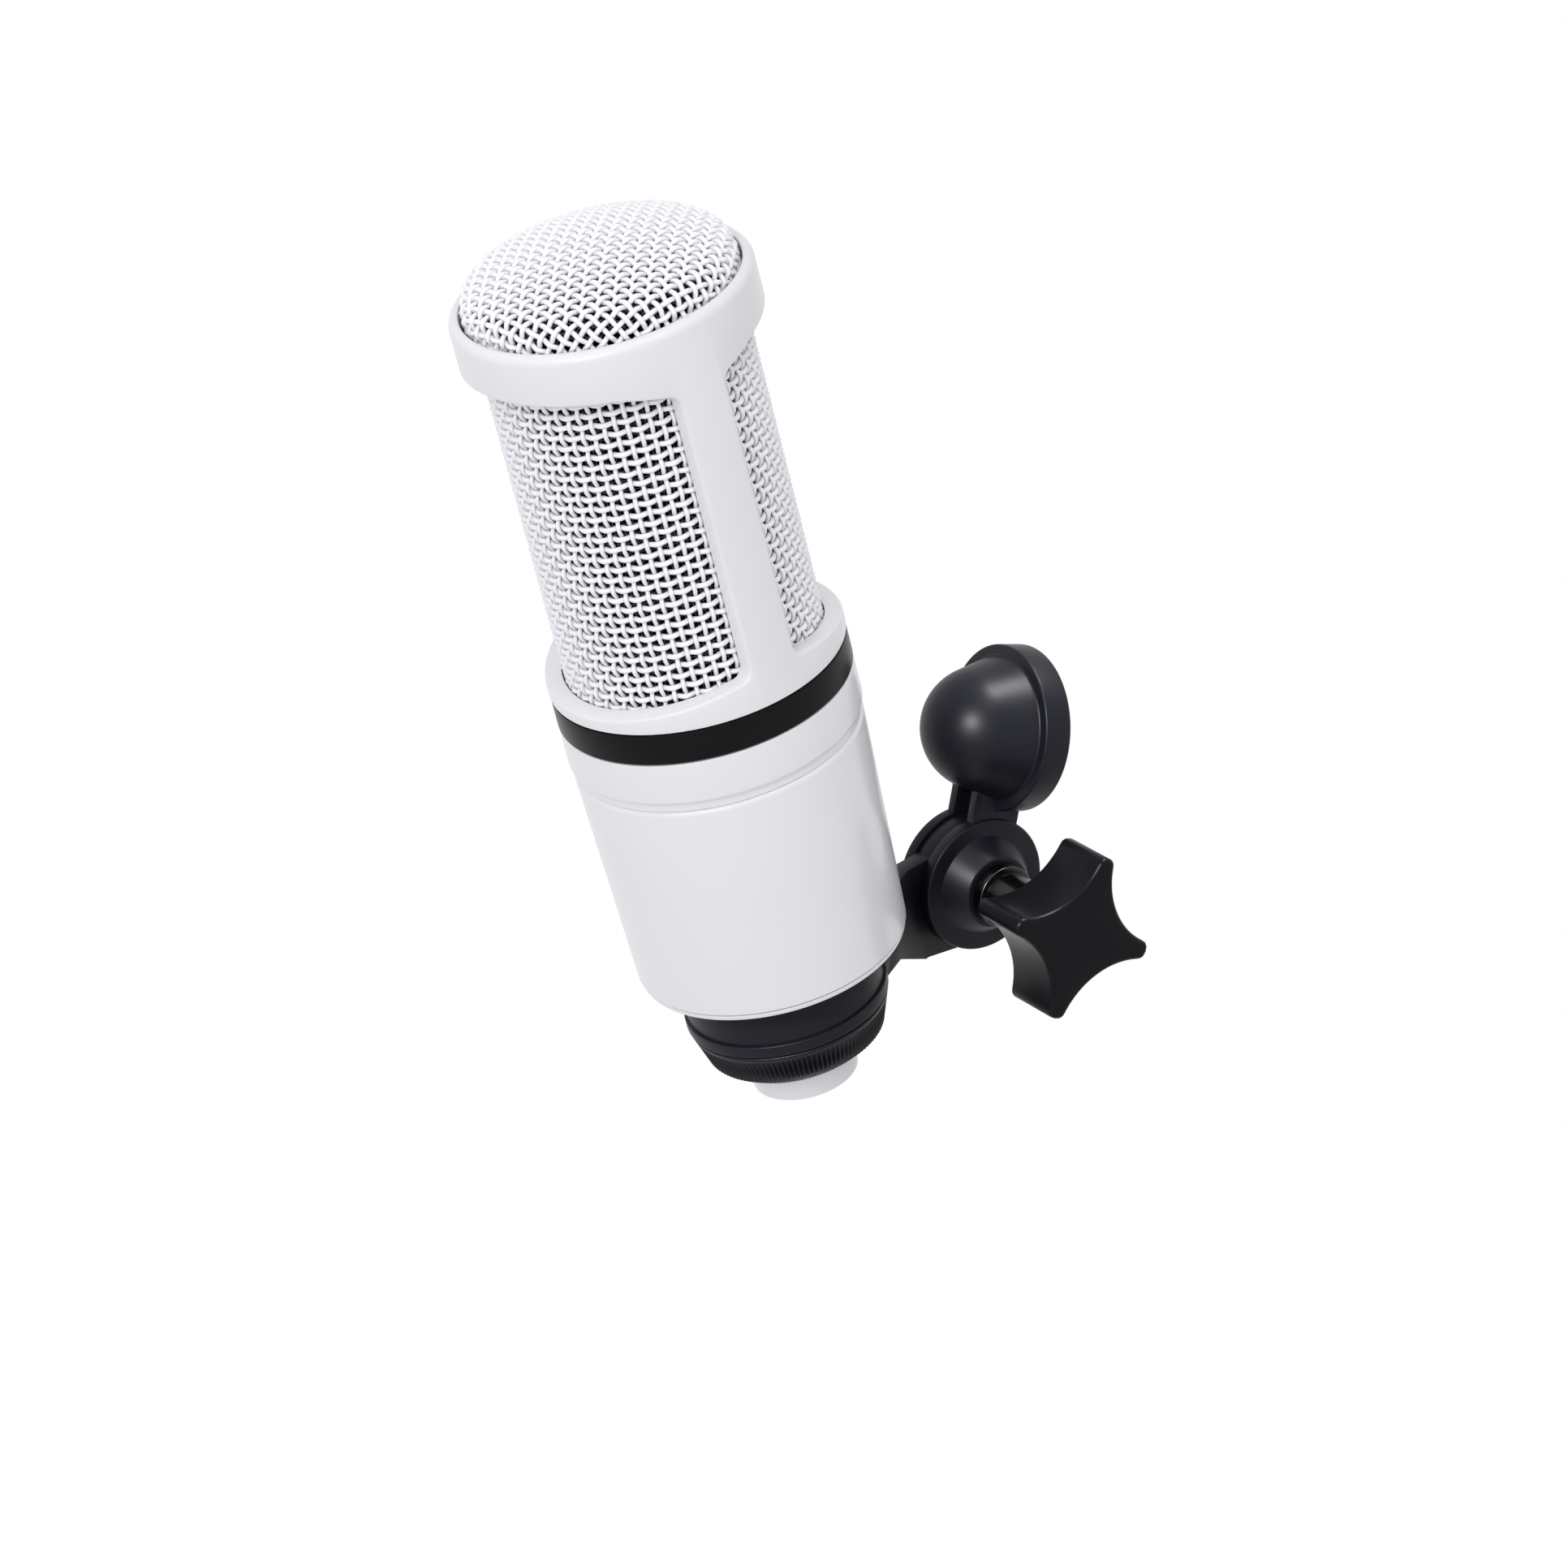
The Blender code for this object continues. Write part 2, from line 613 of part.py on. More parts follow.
def locking_ring(parent, finish):
    """Ribbed ring that screws up the stub and clamps the mount ring."""
    made = turned("locking_ring", [
        (LOCK_RING_TOP_RADIUS, LOCK_TOP), (LOCK_RING_BOTTOM_RADIUS, LOCK_BOTTOM),
        (RING_BORE, LOCK_BOTTOM), (RING_BORE, LOCK_TOP),
    ], parent, finish, 2 * LOCK_RIBS)
    made.data = evaluated_mesh(made)
    made.modifiers.clear()
    for vert in made.data.vertices:
        turn = math.atan2(vert.co.y, vert.co.x) % math.tau
        rib = round(turn / math.tau * 2 * LOCK_RIBS)
        outer = vert.co.xy.length > RING_BORE + LOCK_RIB_DEPTH
        if outer and rib % 2:
            vert.co.xy *= 1 - LOCK_RIB_DEPTH / vert.co.xy.length
    return made


def ring_bracket(parent, finish):
    """Mount ring with the arm, which narrows to the hinge's tongue. Its frame is the hinge."""
    lip = MOUNT_BOTTOM + MOUNT_LIP_HEIGHT
    ring = turned("ring_bracket", [
        (MOUNT_RING_TOP_RADIUS, MOUNT_TOP), (MOUNT_RING_RADIUS, lip + GAP), (MOUNT_LIP_RADIUS, lip),
        (MOUNT_LIP_RADIUS, MOUNT_BOTTOM), (RING_BORE, MOUNT_BOTTOM), (RING_BORE, MOUNT_TOP),
    ], parent, finish)
    ring.location = (-HINGE_REACH, 0, HINGE_DROP)
    root = (RING_BORE + MOUNT_RING_TOP_RADIUS) / 2 - HINGE_REACH
    step = BARREL_BOTTOM_RADIUS + ARM_CLEARANCE - HINGE_REACH
    shelf = MOUNT_TOP - GAP + HINGE_DROP
    top = ARM_TOP + HINGE_DROP
    bottom = MOUNT_BOTTOM + GAP + HINGE_DROP
    knee = (-ARM_KNEE_REACH, -ARM_KNEE_DROP)
    upper = math.pi - math.asin(top / TONGUE_RADIUS)
    reach = math.hypot(*knee)
    lower = math.atan2(knee[1], knee[0]) + math.acos(TONGUE_RADIUS / reach)
    side = [(root, shelf), (step, shelf), (step, top)]
    side += arc(TONGUE_RADIUS, upper, lower, 3 * ARC_POINTS)
    side += [knee, (-ARM_HEEL_REACH, bottom), (root, bottom)]
    half = TONGUE_THICKNESS / 2
    end = TONGUE_RADIUS + GAP
    plan = [
        (root, -FLARE_HALF_WIDTH), (-FLARE_REACH, -FLARE_HALF_WIDTH), (-CREASE_REACH, -half), (end, -half),
        (end, half), (-CREASE_REACH, half), (-FLARE_REACH, FLARE_HALF_WIDTH), (root, FLARE_HALF_WIDTH),
    ]
    arm = plate("arm_join", side, -FLARE_HALF_WIDTH - GAP, FLARE_HALF_WIDTH + GAP, parent, None)
    above = plate("plan_join", plan, -end, end, parent, None, Matrix.Identity(4))
    combine(ring, "UNION", combine(arm, "INTERSECT", above))
    pivot = rod("tongue_bore", PIVOT_BORE, (0, -FORK_OUTSIDE, 0), (0, FORK_OUTSIDE, 0), parent, None)
    return combine(ring, "DIFFERENCE", pivot)


def stand_socket(parent, finish):
    """Bell-shaped socket with its rim, stem and fork. Its frame is the hinge, turned with the thread."""
    centre = MOUTH_REACH - SOCKET_CENTRE_DEPTH
    rim = MOUTH_REACH - RIM_THICKNESS
    axis = Matrix.Rotation(math.pi / 2, 4, "Y")
    flare = math.hypot(SOCKET_FLARE_RADIUS, rim - centre)
    touch = math.atan2(rim - centre, SOCKET_FLARE_RADIUS) - math.acos(SOCKET_RADIUS / flare)
    outline = rounded([
        (0, MOUTH_REACH), (RIM_RADIUS, MOUTH_REACH, RIM_EDGE), (RIM_RADIUS, rim, RIM_EDGE), (0, rim),
    ])[:-1]
    outline.append((SOCKET_FLARE_RADIUS, rim))
    outline += arc(SOCKET_RADIUS, touch, -math.pi / 2, ARC_POINTS, (0, centre))
    made = turned("stand_socket", outline, parent, finish)
    made.data = evaluated_mesh(made)
    made.modifiers.clear()
    made.data.transform(Matrix.Translation((0, 0, STEM_RISE)) @ axis)
    stem_outside = FORK_INSIDE + STEM_PLATE
    stem_top = STEM_RISE - SOCKET_RADIUS / 2
    low = (-STEM_FRONT, -stem_outside, 0)
    high = (STEM_BACK, stem_outside, stem_top)
    combine(made, "UNION", box("stem_join", low, high, parent, None), fork_discs(parent))
    reach = FORK_RADIUS + GAP
    web = WEB_SETBACK - STEM_FRONT
    front = -STEM_FRONT - GAP
    slot = [(front, stem_top), (web, stem_top)]
    slot += arc(reach, math.acos(web / reach), math.acos(front / reach) - math.tau, 3 * ARC_POINTS)
    pocket_floor = BOLT_SEAT - NUT_THICKNESS - 2 * GAP
    mouth = (MOUTH_REACH + RIM_EDGE, 0, STEM_RISE)
    depth = (MOUTH_REACH - THREAD_RECESS - THREAD_LENGTH - GAP, 0, STEM_RISE)
    return combine(
        made, "DIFFERENCE",
        plate("slot_cut", slot, -FORK_INSIDE, FORK_INSIDE, parent, None),
        pivot_bore(parent),
        rod("nut_cut", NUT_POCKET_RADIUS, (0, pocket_floor, 0), (0, 2 * BOLT_SEAT, 0), parent, None, 6),
        rod("thread_cut", SOCKET_BORE, mouth, depth, parent, None, TURN_STEPS),
    )


def fork_discs(parent):
    """Both discs of the fork before the slot is cut, with a conical boss on each side."""
    far_boss = NUT_POCKET_RADIUS + NUT_SEAT_WALL
    end = FORK_OUTSIDE + BOSS_HEIGHT
    made = turned("fork_join", [
        (0, end), (BOSS_TOP_RADIUS, end), (BOSS_BASE_RADIUS, FORK_OUTSIDE), (FORK_RADIUS, FORK_OUTSIDE),
        (FORK_RADIUS, -FORK_OUTSIDE), (BOSS_BASE_RADIUS, -FORK_OUTSIDE), (far_boss, -end), (0, -end),
    ], parent, None)
    made.rotation_euler = (math.pi / 2, 0, 0)
    return made


def pivot_bore(parent):
    """Cutter for the bolt's stepped hole, wider on the knob's side to take the bolt's collar."""
    reach = 2 * BOLT_SEAT
    wide = BOLT_COLLAR_RADIUS + GAP
    made = turned("pivot_cut", [
        (0, reach), (wide, reach), (wide, COLLAR_SEAT),
        (PIVOT_BORE, COLLAR_SEAT), (PIVOT_BORE, -reach), (0, -reach),
    ], parent, None, SMALL_STEPS)
    made.rotation_euler = (math.pi / 2, 0, 0)
    return made


def thread_insert(parent, finish):
    """Brass bush for the stand's thread."""
    end = MOUTH_REACH - THREAD_RECESS
    outline = [
        (THREAD_OUTSIDE, end), (THREAD_OUTSIDE, end - THREAD_LENGTH),
        (THREAD_RADIUS, end - THREAD_LENGTH), (THREAD_RADIUS, end),
    ]
    made = turned("thread_insert", outline, parent, finish, SMALL_STEPS)
    made.location.z = STEM_RISE
    made.rotation_euler = (0, math.pi / 2, 0)
    return made


def clamp_nut(parent, finish):
    end = BOLT_SEAT - GAP
    start = end - NUT_THICKNESS
    made = rod("clamp_nut", NUT_RADIUS, (0, start, 0), (0, end, 0), parent, finish, 6)
    hole = rod("nut_bore", PIVOT_BORE, (0, 0, 0), (0, 2 * BOLT_SEAT, 0), parent, None)
    return combine(made, "DIFFERENCE", hole)


def clamp_bolt(parent, finish):
    """Bolt from the knob through the fork and tongue into the nut, with a flange that bears on the boss."""
    grip = KNOB_REACH + BOLT_GRIP
    shoulder = KNOB_REACH - GAP
    flange = BOLT_SEAT + BOLT_FLANGE_THICKNESS
    seat = COLLAR_SEAT + GAP
    tip = FORK_OUTSIDE + BOSS_HEIGHT
    outline = [
        (0, grip), (BOLT_RADIUS, grip), (BOLT_RADIUS, shoulder), (BOLT_COLLAR_RADIUS, shoulder),
        (BOLT_COLLAR_RADIUS, flange), (BOLT_FLANGE_RADIUS, flange), (BOLT_FLANGE_RADIUS, BOLT_SEAT),
        (BOLT_COLLAR_RADIUS, BOLT_SEAT), (BOLT_COLLAR_RADIUS, seat), (BOLT_RADIUS, seat),
        (BOLT_RADIUS, -tip), (0, -tip),
    ]
    made = turned("clamp_bolt", outline, parent, finish, SMALL_STEPS)
    made.rotation_euler = (math.pi / 2, 0, 0)
    return made


def clamp_knob(parent, finish):
    """Four-lobed knob with hollowed sides."""
    outline = []
    half_tip = KNOB_TIP_WIDTH / 2
    flank = math.atan2(half_tip, KNOB_TIP_RADIUS)
    chord = math.hypot(half_tip, KNOB_TIP_RADIUS)
    across = math.pi / 4 - flank
    depth = chord * math.cos(across) - KNOB_WAIST_RADIUS
    half_chord = chord * math.sin(across)
    hollow = (half_chord**2 + depth**2) / (2 * depth)
    swing = math.asin(half_chord / hollow)
    for lobe in range(4):
        waist = KNOB_TURN + lobe * math.pi / 2 + math.pi / 4
        centre = (
            (KNOB_WAIST_RADIUS + hollow) * math.cos(waist),
            (KNOB_WAIST_RADIUS + hollow) * math.sin(waist),
        )
        outline += arc(hollow, waist + math.pi + swing, waist + math.pi - swing, ARC_POINTS, centre)
    made = plate("clamp_knob", outline, -KNOB_REACH - KNOB_THICKNESS, -KNOB_REACH, parent, finish)
    edge = made.modifiers.new("Edges", "BEVEL")
    edge.width = KNOB_EDGE
    edge.segments = 2
    edge.limit_method = "ANGLE"
    start = (0, -KNOB_REACH - BOLT_GRIP - GAP, 0)
    return combine(made, "DIFFERENCE", rod("grip_cut", PIVOT_BORE, start, (0, 0, 0), parent, None))


def settle():
    """Keeps each part's finished mesh and shades it smooth up to its sharp edges."""
    pieces = [piece for piece in parts.objects if piece.type == "MESH"]
    meshes = [evaluated_mesh(piece) for piece in pieces]
    for piece, mesh in zip(pieces, meshes):
        piece.modifiers.clear()
        piece.data = mesh
        mesh.shade_smooth()
        mesh.set_sharp_from_angle(angle=SMOOTH_ANGLE)


def main():
    clear_scene()
    white = material("white_paint", (0.83, 0.82, 0.85), 0.25)
    wire = material("white_wire", (0.80, 0.80, 0.82), 0.35)
    black = material("black_plastic", (0.012, 0.012, 0.015), 0.38)
    trim = material("black_trim", (0.008, 0.008, 0.009), 0.25)
    mesh_black = material("black_screen", (0.02, 0.02, 0.02), 0.8)
    plated = material("plated_steel", (0.62, 0.62, 0.60), 0.2, 1.0)
    brass = material("brass", (0.70, 0.52, 0.24), 0.3, 1.0)
    film = material("gold_film", (0.85, 0.62, 0.25), 0.2, 1.0)
    alloy = material("alloy", (0.55, 0.55, 0.56), 0.45, 1.0)
    board = material("board_green", (0.02, 0.16, 0.06), 0.5)
    sleeve = material("capacitor_sleeve", (0.03, 0.06, 0.18), 0.4)
    insulator = material("insulator", (0.02, 0.02, 0.02), 0.6)

    mouth = Vector((MOUTH_REACH, 0, STEM_RISE))
    hinge = -(Matrix.Rotation(STAND_TILT, 3, "Y") @ mouth)
    stand = frame("stand_frame", hinge, STAND_TILT)
    tilt = frame("tilt_axis", hinge)
    clamp = frame("clamp_axis", hinge)
    swivel = frame("swivel_axis", hinge + Vector((-HINGE_REACH, 0, HINGE_DROP)))

    stand_socket(stand, black)
    thread_insert(stand, brass)
    clamp_nut(stand, plated)
    clamp_bolt(clamp, plated)
    clamp_knob(clamp, black)
    ring_bracket(tilt, black)
    locking_ring(swivel, black)
    head_frame(swivel, white)
    trim_band(swivel, trim)
    wall_grille(swivel, wire)
    dome_grille(swivel, wire)
    inner_screen(swivel, mesh_black)
    capsule_deck(swivel, alloy)
    capsule(swivel, alloy, film)
    capsule_saddle(swivel, insulator)
    barrel(swivel, white)
    base_ring(swivel, white)
    chassis_base(swivel, alloy)
    chassis_rails(swivel, alloy)
    circuit_board(swivel, board, sleeve)
    output_socket(swivel, white, insulator, plated)
    settle()


main()
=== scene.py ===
# %% [markdown]
# # A studio microphone on its tilting stand mount
#
# The object is a side-address condenser microphone: a white tapered barrel, a cast head frame with two
# tall windows, woven wire behind the windows and over the top, and a black moulded mount that tilts on a
# clamped hinge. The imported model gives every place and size. This lesson makes each visible piece again
# with the edges, wires, ribs and finishes that the eye looks for, and hangs it on the body that it moves
# with.

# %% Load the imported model
import json
import math

import bpy
from mathutils import Matrix, Vector


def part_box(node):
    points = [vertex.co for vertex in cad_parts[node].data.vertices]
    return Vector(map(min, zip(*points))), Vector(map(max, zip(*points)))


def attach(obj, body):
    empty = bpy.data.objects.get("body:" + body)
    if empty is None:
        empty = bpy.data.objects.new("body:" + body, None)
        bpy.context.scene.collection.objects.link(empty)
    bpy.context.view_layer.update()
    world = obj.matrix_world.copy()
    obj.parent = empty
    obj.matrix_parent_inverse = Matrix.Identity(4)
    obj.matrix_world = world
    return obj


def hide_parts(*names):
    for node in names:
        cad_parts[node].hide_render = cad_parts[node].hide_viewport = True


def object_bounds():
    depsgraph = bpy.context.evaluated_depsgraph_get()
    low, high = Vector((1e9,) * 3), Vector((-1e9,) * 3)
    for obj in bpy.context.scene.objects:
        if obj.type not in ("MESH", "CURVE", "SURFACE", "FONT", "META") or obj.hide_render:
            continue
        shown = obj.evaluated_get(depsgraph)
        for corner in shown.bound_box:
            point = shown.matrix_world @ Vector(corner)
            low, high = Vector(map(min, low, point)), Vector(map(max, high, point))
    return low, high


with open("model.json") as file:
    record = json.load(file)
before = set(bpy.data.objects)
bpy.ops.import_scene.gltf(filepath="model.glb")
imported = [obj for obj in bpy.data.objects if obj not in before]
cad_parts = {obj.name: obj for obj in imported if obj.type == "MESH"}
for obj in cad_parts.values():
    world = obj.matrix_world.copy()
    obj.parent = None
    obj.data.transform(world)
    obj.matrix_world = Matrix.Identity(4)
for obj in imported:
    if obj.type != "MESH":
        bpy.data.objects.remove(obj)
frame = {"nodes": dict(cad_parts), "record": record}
cad_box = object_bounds()
print("box in mm:", [[round(1000 * value, 1) for value in corner] for corner in cad_box])

# %% [markdown]
# ## Where things are
#
# Three places carry everything else. The seat is the point on the microphone's axis where the base ring
# meets the mount ring. The hinge is the axis of the clamp bolt. The mouth of the stand thread is the
# origin, and its axis stands in the record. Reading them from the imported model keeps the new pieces
# exactly on the old ones.

# %% Seat, hinge and thread
MM = 0.001

low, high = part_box("barrel")
seat = Vector(((low.x + high.x) / 2, 0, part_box("base_ring")[0].z))
low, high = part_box("clamp_bolt")
hinge = Vector(((low.x + high.x) / 2, 0, (low.z + high.z) / 2))
thread_axis = Vector(frame["record"]["mounts"][0]["axis"])
thread_tilt = math.atan2(-thread_axis.z, thread_axis.x)
print("seat", seat, "hinge", hinge, "thread tilt", round(math.degrees(thread_tilt), 2))

# %% [markdown]
# ## Camera
#
# The photograph was taken with a long lens from the left and above, with the camera rolled so that the
# microphone leans. These numbers come from fitting the ellipses of the head, the band and the rings.

# %% Camera
CAMERA_FROM_HINGE = Vector((-0.476663, -0.885383, 0.578323))
CAMERA_TURN = (60.4931, 12.6465, -33.7767)
CAMERA_LENS = 150.67

bpy.ops.object.select_all(action="DESELECT")
camera_turn = [math.radians(turn) for turn in CAMERA_TURN]
bpy.ops.object.camera_add(location=hinge + CAMERA_FROM_HINGE, rotation=camera_turn)
camera = bpy.context.object
camera.name = "product_camera"
camera.data.lens = CAMERA_LENS
camera.data.sensor_width = 36
bpy.context.scene.camera = camera
bpy.context.scene.view_settings.view_transform = "Standard"
print("camera", round((camera.location - seat).length, 3), "m from the seat")

# %% [markdown]
# ## Colours and nodes
#
# A colour is picked on a screen as an sRGB value, but the renderer works with linear light, so one
# function turns the one into the other. A second function adds a shader node, sets its options and fills
# its sockets, either with a value or with a link from another node. Every finish below is built from
# these two.


# %% Two small helpers for materials
def linear(code):
    """Linear colour, with full alpha, from an sRGB hex code."""
    channels = [int(code[at:at + 2], 16) / 255 for at in (1, 3, 5)]
    return (*(c / 12.92 if c <= 0.04045 else ((c + 0.055) / 1.055) ** 2.4 for c in channels), 1.0)


def add(tree, kind, sockets=(), **options):
    """A shader node with its options set and its sockets filled with values or links."""
    made = tree.nodes.new("ShaderNode" + kind)
    for name, value in options.items():
        setattr(made, name, value)
    for name, value in dict(sockets).items():
        if isinstance(value, bpy.types.NodeSocket):
            tree.links.new(value, made.inputs[name])
        else:
            made.inputs[name].default_value = value
    return made


print("white paint in linear light:", [round(value, 3) for value in linear("#E8E7EB")])

# %% [markdown]
# ## Studio
#
# The background of the photograph is plain white. The world and the floor are white to the camera and in
# reflections, and dimmer for the light that falls on the object, so that the paint keeps its tone. The
# mount holds the microphone up in the air, so the floor lies far enough below for its shadow to fade out.

# %% World and floor
AMBIENT = 0.74
FLOOR_DROP = 0.40

world = bpy.data.worlds.new("white_studio")
bpy.context.scene.world = world
world.use_nodes = True


def seen_directly(tree):
    """One for rays from the camera, a reflection or glass, and zero for the light that falls on things."""
    path = add(tree, "LightPath").outputs
    mirrored = add(tree, "Math", {0: path["Is Glossy Ray"], 1: path["Is Transmission Ray"]}, operation="ADD")
    return add(
        tree, "Math", {0: path["Is Camera Ray"], 1: mirrored.outputs[0]}, operation="ADD", use_clamp=True
    )


tree = world.node_tree
strength = add(
    tree, "Math", {0: seen_directly(tree).outputs[0], 1: 1 - AMBIENT, 2: AMBIENT}, operation="MULTIPLY_ADD"
)
tree.links.new(strength.outputs[0], tree.nodes["Background"].inputs["Strength"])
tree.nodes["Background"].inputs["Color"].default_value = (1, 1, 1, 1)

bpy.ops.object.select_all(action="DESELECT")
bpy.ops.mesh.primitive_plane_add(size=20, location=(0, 0, cad_box[0].z - FLOOR_DROP))
floor = bpy.context.object
floor.name = "studio_floor"
bpy.ops.object.transform_apply(location=True, rotation=True, scale=True)

paper = bpy.data.materials.new("white_backdrop_paper")
paper.use_nodes = True
tree = paper.node_tree
tree.nodes.remove(tree.nodes["Principled BSDF"])
matt = add(tree, "BsdfDiffuse", {"Color": linear("#E0E0E0")})
glow = add(tree, "Emission", {"Color": (1, 1, 1, 1), "Strength": 1.0})
mixed = add(tree, "MixShader", {0: seen_directly(tree).outputs[0], 1: matt.outputs[0], 2: glow.outputs[0]})
tree.links.new(mixed.outputs[0], tree.nodes["Material Output"].inputs["Surface"])
floor.data.materials.append(paper)
print("floor at", round(floor.data.vertices[0].co.z, 3))

# %% [markdown]
# ## Lamps
#
# The barrel is brightest about thirty degrees to the left of the camera and falls off slowly, which is
# the mark of one large soft lamp on that side. A second, smaller one from high up on the right draws the
# thin bright lines along the black plastic's upper edges. A lamp's power is set by the share of white
# that it should add on a surface facing it: power = share x pi squared x distance squared. Black plastic
# needs far more light than white paint before its highlights show, so two lamps light only the black
# pieces, and a third one lifts only the wires. Each piece joins its list of lit pieces as it is handed
# in.


# %% Lamps
def lamp(name, azimuth, elevation, distance, size, share):
    """A square soft lamp aimed at the middle of the object."""
    turn, lift = math.radians(azimuth), math.radians(elevation)
    out = Vector((math.cos(turn) * math.cos(lift), math.sin(turn) * math.cos(lift), math.sin(lift)))
    middle = (cad_box[0] + cad_box[1]) / 2
    bpy.ops.object.light_add(type="AREA", location=middle + out * distance)
    made = bpy.context.object
    made.name = name
    made.rotation_euler = (-out).to_track_quat("-Z", "Y").to_euler()
    made.data.size = size
    made.data.energy = share * math.pi**2 * distance**2
    return made


lamp("soft_key", 217, 38, 1.3, 0.9, 0.36)
lamp("top_strip", 285, 62, 1.0, 0.35, 0.10)
LINKED_DISTANCE = 1.2
mount_lit = bpy.data.collections.new("black_pieces")
wire_lit = bpy.data.collections.new("wire_pieces")
for name, azimuth, elevation, size, share, lit in (
    ("mount_key", 218, 41, 0.30, 1.7, mount_lit),
    ("mount_rim", 350, 53, 0.45, 1.9, mount_lit),
    ("wire_key", 262, 42, 0.60, 0.10, wire_lit),
):
    lamp(name, azimuth, elevation, LINKED_DISTANCE, size, share).light_linking.receiver_collection = lit

# %% [markdown]
# ## White gloss paint
#
# The head frame, the barrel and the base ring are cast and turned metal under a gloss stove enamel.
# Sprayed enamel is never quite flat: it dries with a faint orange peel of about a millimetre, and its
# gloss varies a little. Both come from noise. The white leans slightly to violet, as the photograph
# shows.


# %% White gloss paint
def surface(name):
    """A new material with its tree, its main shader and its object coordinates."""
    made = bpy.data.materials.new(name)
    made.use_nodes = True
    tree = made.node_tree
    return made, tree, tree.nodes["Principled BSDF"], add(tree, "TexCoord").outputs["Object"]


def per_mm(size):
    """Texture scale, in features for each metre, that gives features of a size in millimetres."""
    return 1 / (size * MM)


# Enamel: broad soft highlights that waver slightly over the orange peel.
white_paint, tree, shader, place = surface("white_gloss_enamel")
shader.inputs["Roughness"].default_value = 0.24
shader.inputs["IOR"].default_value = 1.5
tint = add(tree, "TexNoise", {"Vector": place, "Scale": per_mm(30), "Detail": 1.0})
colour = add(
    tree, "Mix", {0: tint.outputs["Fac"], 6: linear("#EAE9EE"), 7: linear("#E6E5EA")}, data_type="RGBA"
)
tree.links.new(colour.outputs[2], shader.inputs["Base Color"])
gloss = add(tree, "TexNoise", {"Vector": place, "Scale": per_mm(6), "Detail": 2.0})
spread = add(tree, "MapRange", {0: gloss.outputs["Fac"], 3: 0.20, 4: 0.28})
tree.links.new(spread.outputs[0], shader.inputs["Roughness"])
peel = add(tree, "TexNoise", {"Vector": place, "Scale": per_mm(1.2), "Detail": 1.0})
bump = add(tree, "Bump", {"Height": peel.outputs["Fac"], "Strength": 0.04, "Distance": 0.1 * MM})
tree.links.new(bump.outputs[0], shader.inputs["Normal"])
print("made", white_paint.name)

# %% [markdown]
# ## White wire
#
# The grille's wires are coated in the same white, but powder on thin wire comes out less glossy and
# slightly lumpy, with more of it where two wires cross.

# %% White wire
# Powder coat: a soft sheen, a fine lumpiness of a third of a millimetre.
white_wire, tree, shader, place = surface("white_powder_coat")
shader.inputs["Roughness"].default_value = 0.38
lumps = add(tree, "TexNoise", {"Vector": place, "Scale": per_mm(0.5), "Detail": 2.0})
colour = add(
    tree, "Mix", {0: lumps.outputs["Fac"], 6: linear("#F4F4F8"), 7: linear("#ECECF2")}, data_type="RGBA"
)
tree.links.new(colour.outputs[2], shader.inputs["Base Color"])
bump = add(tree, "Bump", {"Height": lumps.outputs["Fac"], "Strength": 0.15, "Distance": 0.05 * MM})
tree.links.new(bump.outputs[0], shader.inputs["Normal"])

# Fine mesh behind: white wire painted a dull mid grey as painted shade, reading as thin threads in shade.
gauze_painted_shade, tree, shader, place = surface("gauze_grey_painted_shade")
shader.inputs["Roughness"].default_value = 0.45
blotch = add(tree, "TexNoise", {"Vector": place, "Scale": per_mm(3), "Detail": 2.0})
colour = add(
    tree, "Mix", {0: blotch.outputs["Fac"], 6: linear("#77777C"), 7: linear("#66666B")}, data_type="RGBA"
)
tree.links.new(colour.outputs[2], shader.inputs["Base Color"])
print("made", white_wire.name, "and", gauze_painted_shade.name)

# %% [markdown]
# ## Black plastics
#
# The mount is moulded in glass-filled nylon, satin black with a fine grain from the mould, so its
# highlights are soft and bluish grey. The trim band is a thin smooth strip, a little darker and tighter.
# Both reflect little, so the specular level is low and the lamps do the drawing.

# %% Black plastics
# Moulded nylon: dark, with a grain drawn at 0.35 mm, coarser than the real one so that it shows at all.
black_nylon, tree, shader, place = surface("satin_black_moulded_nylon")
shader.inputs["Specular IOR Level"].default_value = 0.16
grain = add(tree, "TexNoise", {"Vector": place, "Scale": per_mm(0.35), "Detail": 2.0})
flow = add(tree, "TexNoise", {"Vector": place, "Scale": per_mm(9), "Detail": 2.0})
colour = add(
    tree, "Mix", {0: flow.outputs["Fac"], 6: linear("#0A0B11"), 7: linear("#0E0F16")}, data_type="RGBA"
)
tree.links.new(colour.outputs[2], shader.inputs["Base Color"])
spread = add(tree, "MapRange", {0: flow.outputs["Fac"], 3: 0.34, 4: 0.44})
tree.links.new(spread.outputs[0], shader.inputs["Roughness"])
bump = add(tree, "Bump", {"Height": grain.outputs["Fac"], "Strength": 0.10, "Distance": 0.04 * MM})
tree.links.new(bump.outputs[0], shader.inputs["Normal"])

# Knob black: the mount's black made a little darker and less reflective, painted shade for the dark
# surroundings that its face reflects; polished by the mould, with short bright highlights on its edges.
black_phenolic, tree, shader, place = surface("knob_black_painted_dark_reflection")
shader.inputs["Specular IOR Level"].default_value = 0.08
flow = add(tree, "TexNoise", {"Vector": place, "Scale": per_mm(7), "Detail": 2.0})
colour = add(
    tree, "Mix", {0: flow.outputs["Fac"], 6: linear("#08080B"), 7: linear("#0B0B0F")}, data_type="RGBA"
)
tree.links.new(colour.outputs[2], shader.inputs["Base Color"])
spread = add(tree, "MapRange", {0: flow.outputs["Fac"], 3: 0.26, 4: 0.32})
tree.links.new(spread.outputs[0], shader.inputs["Roughness"])

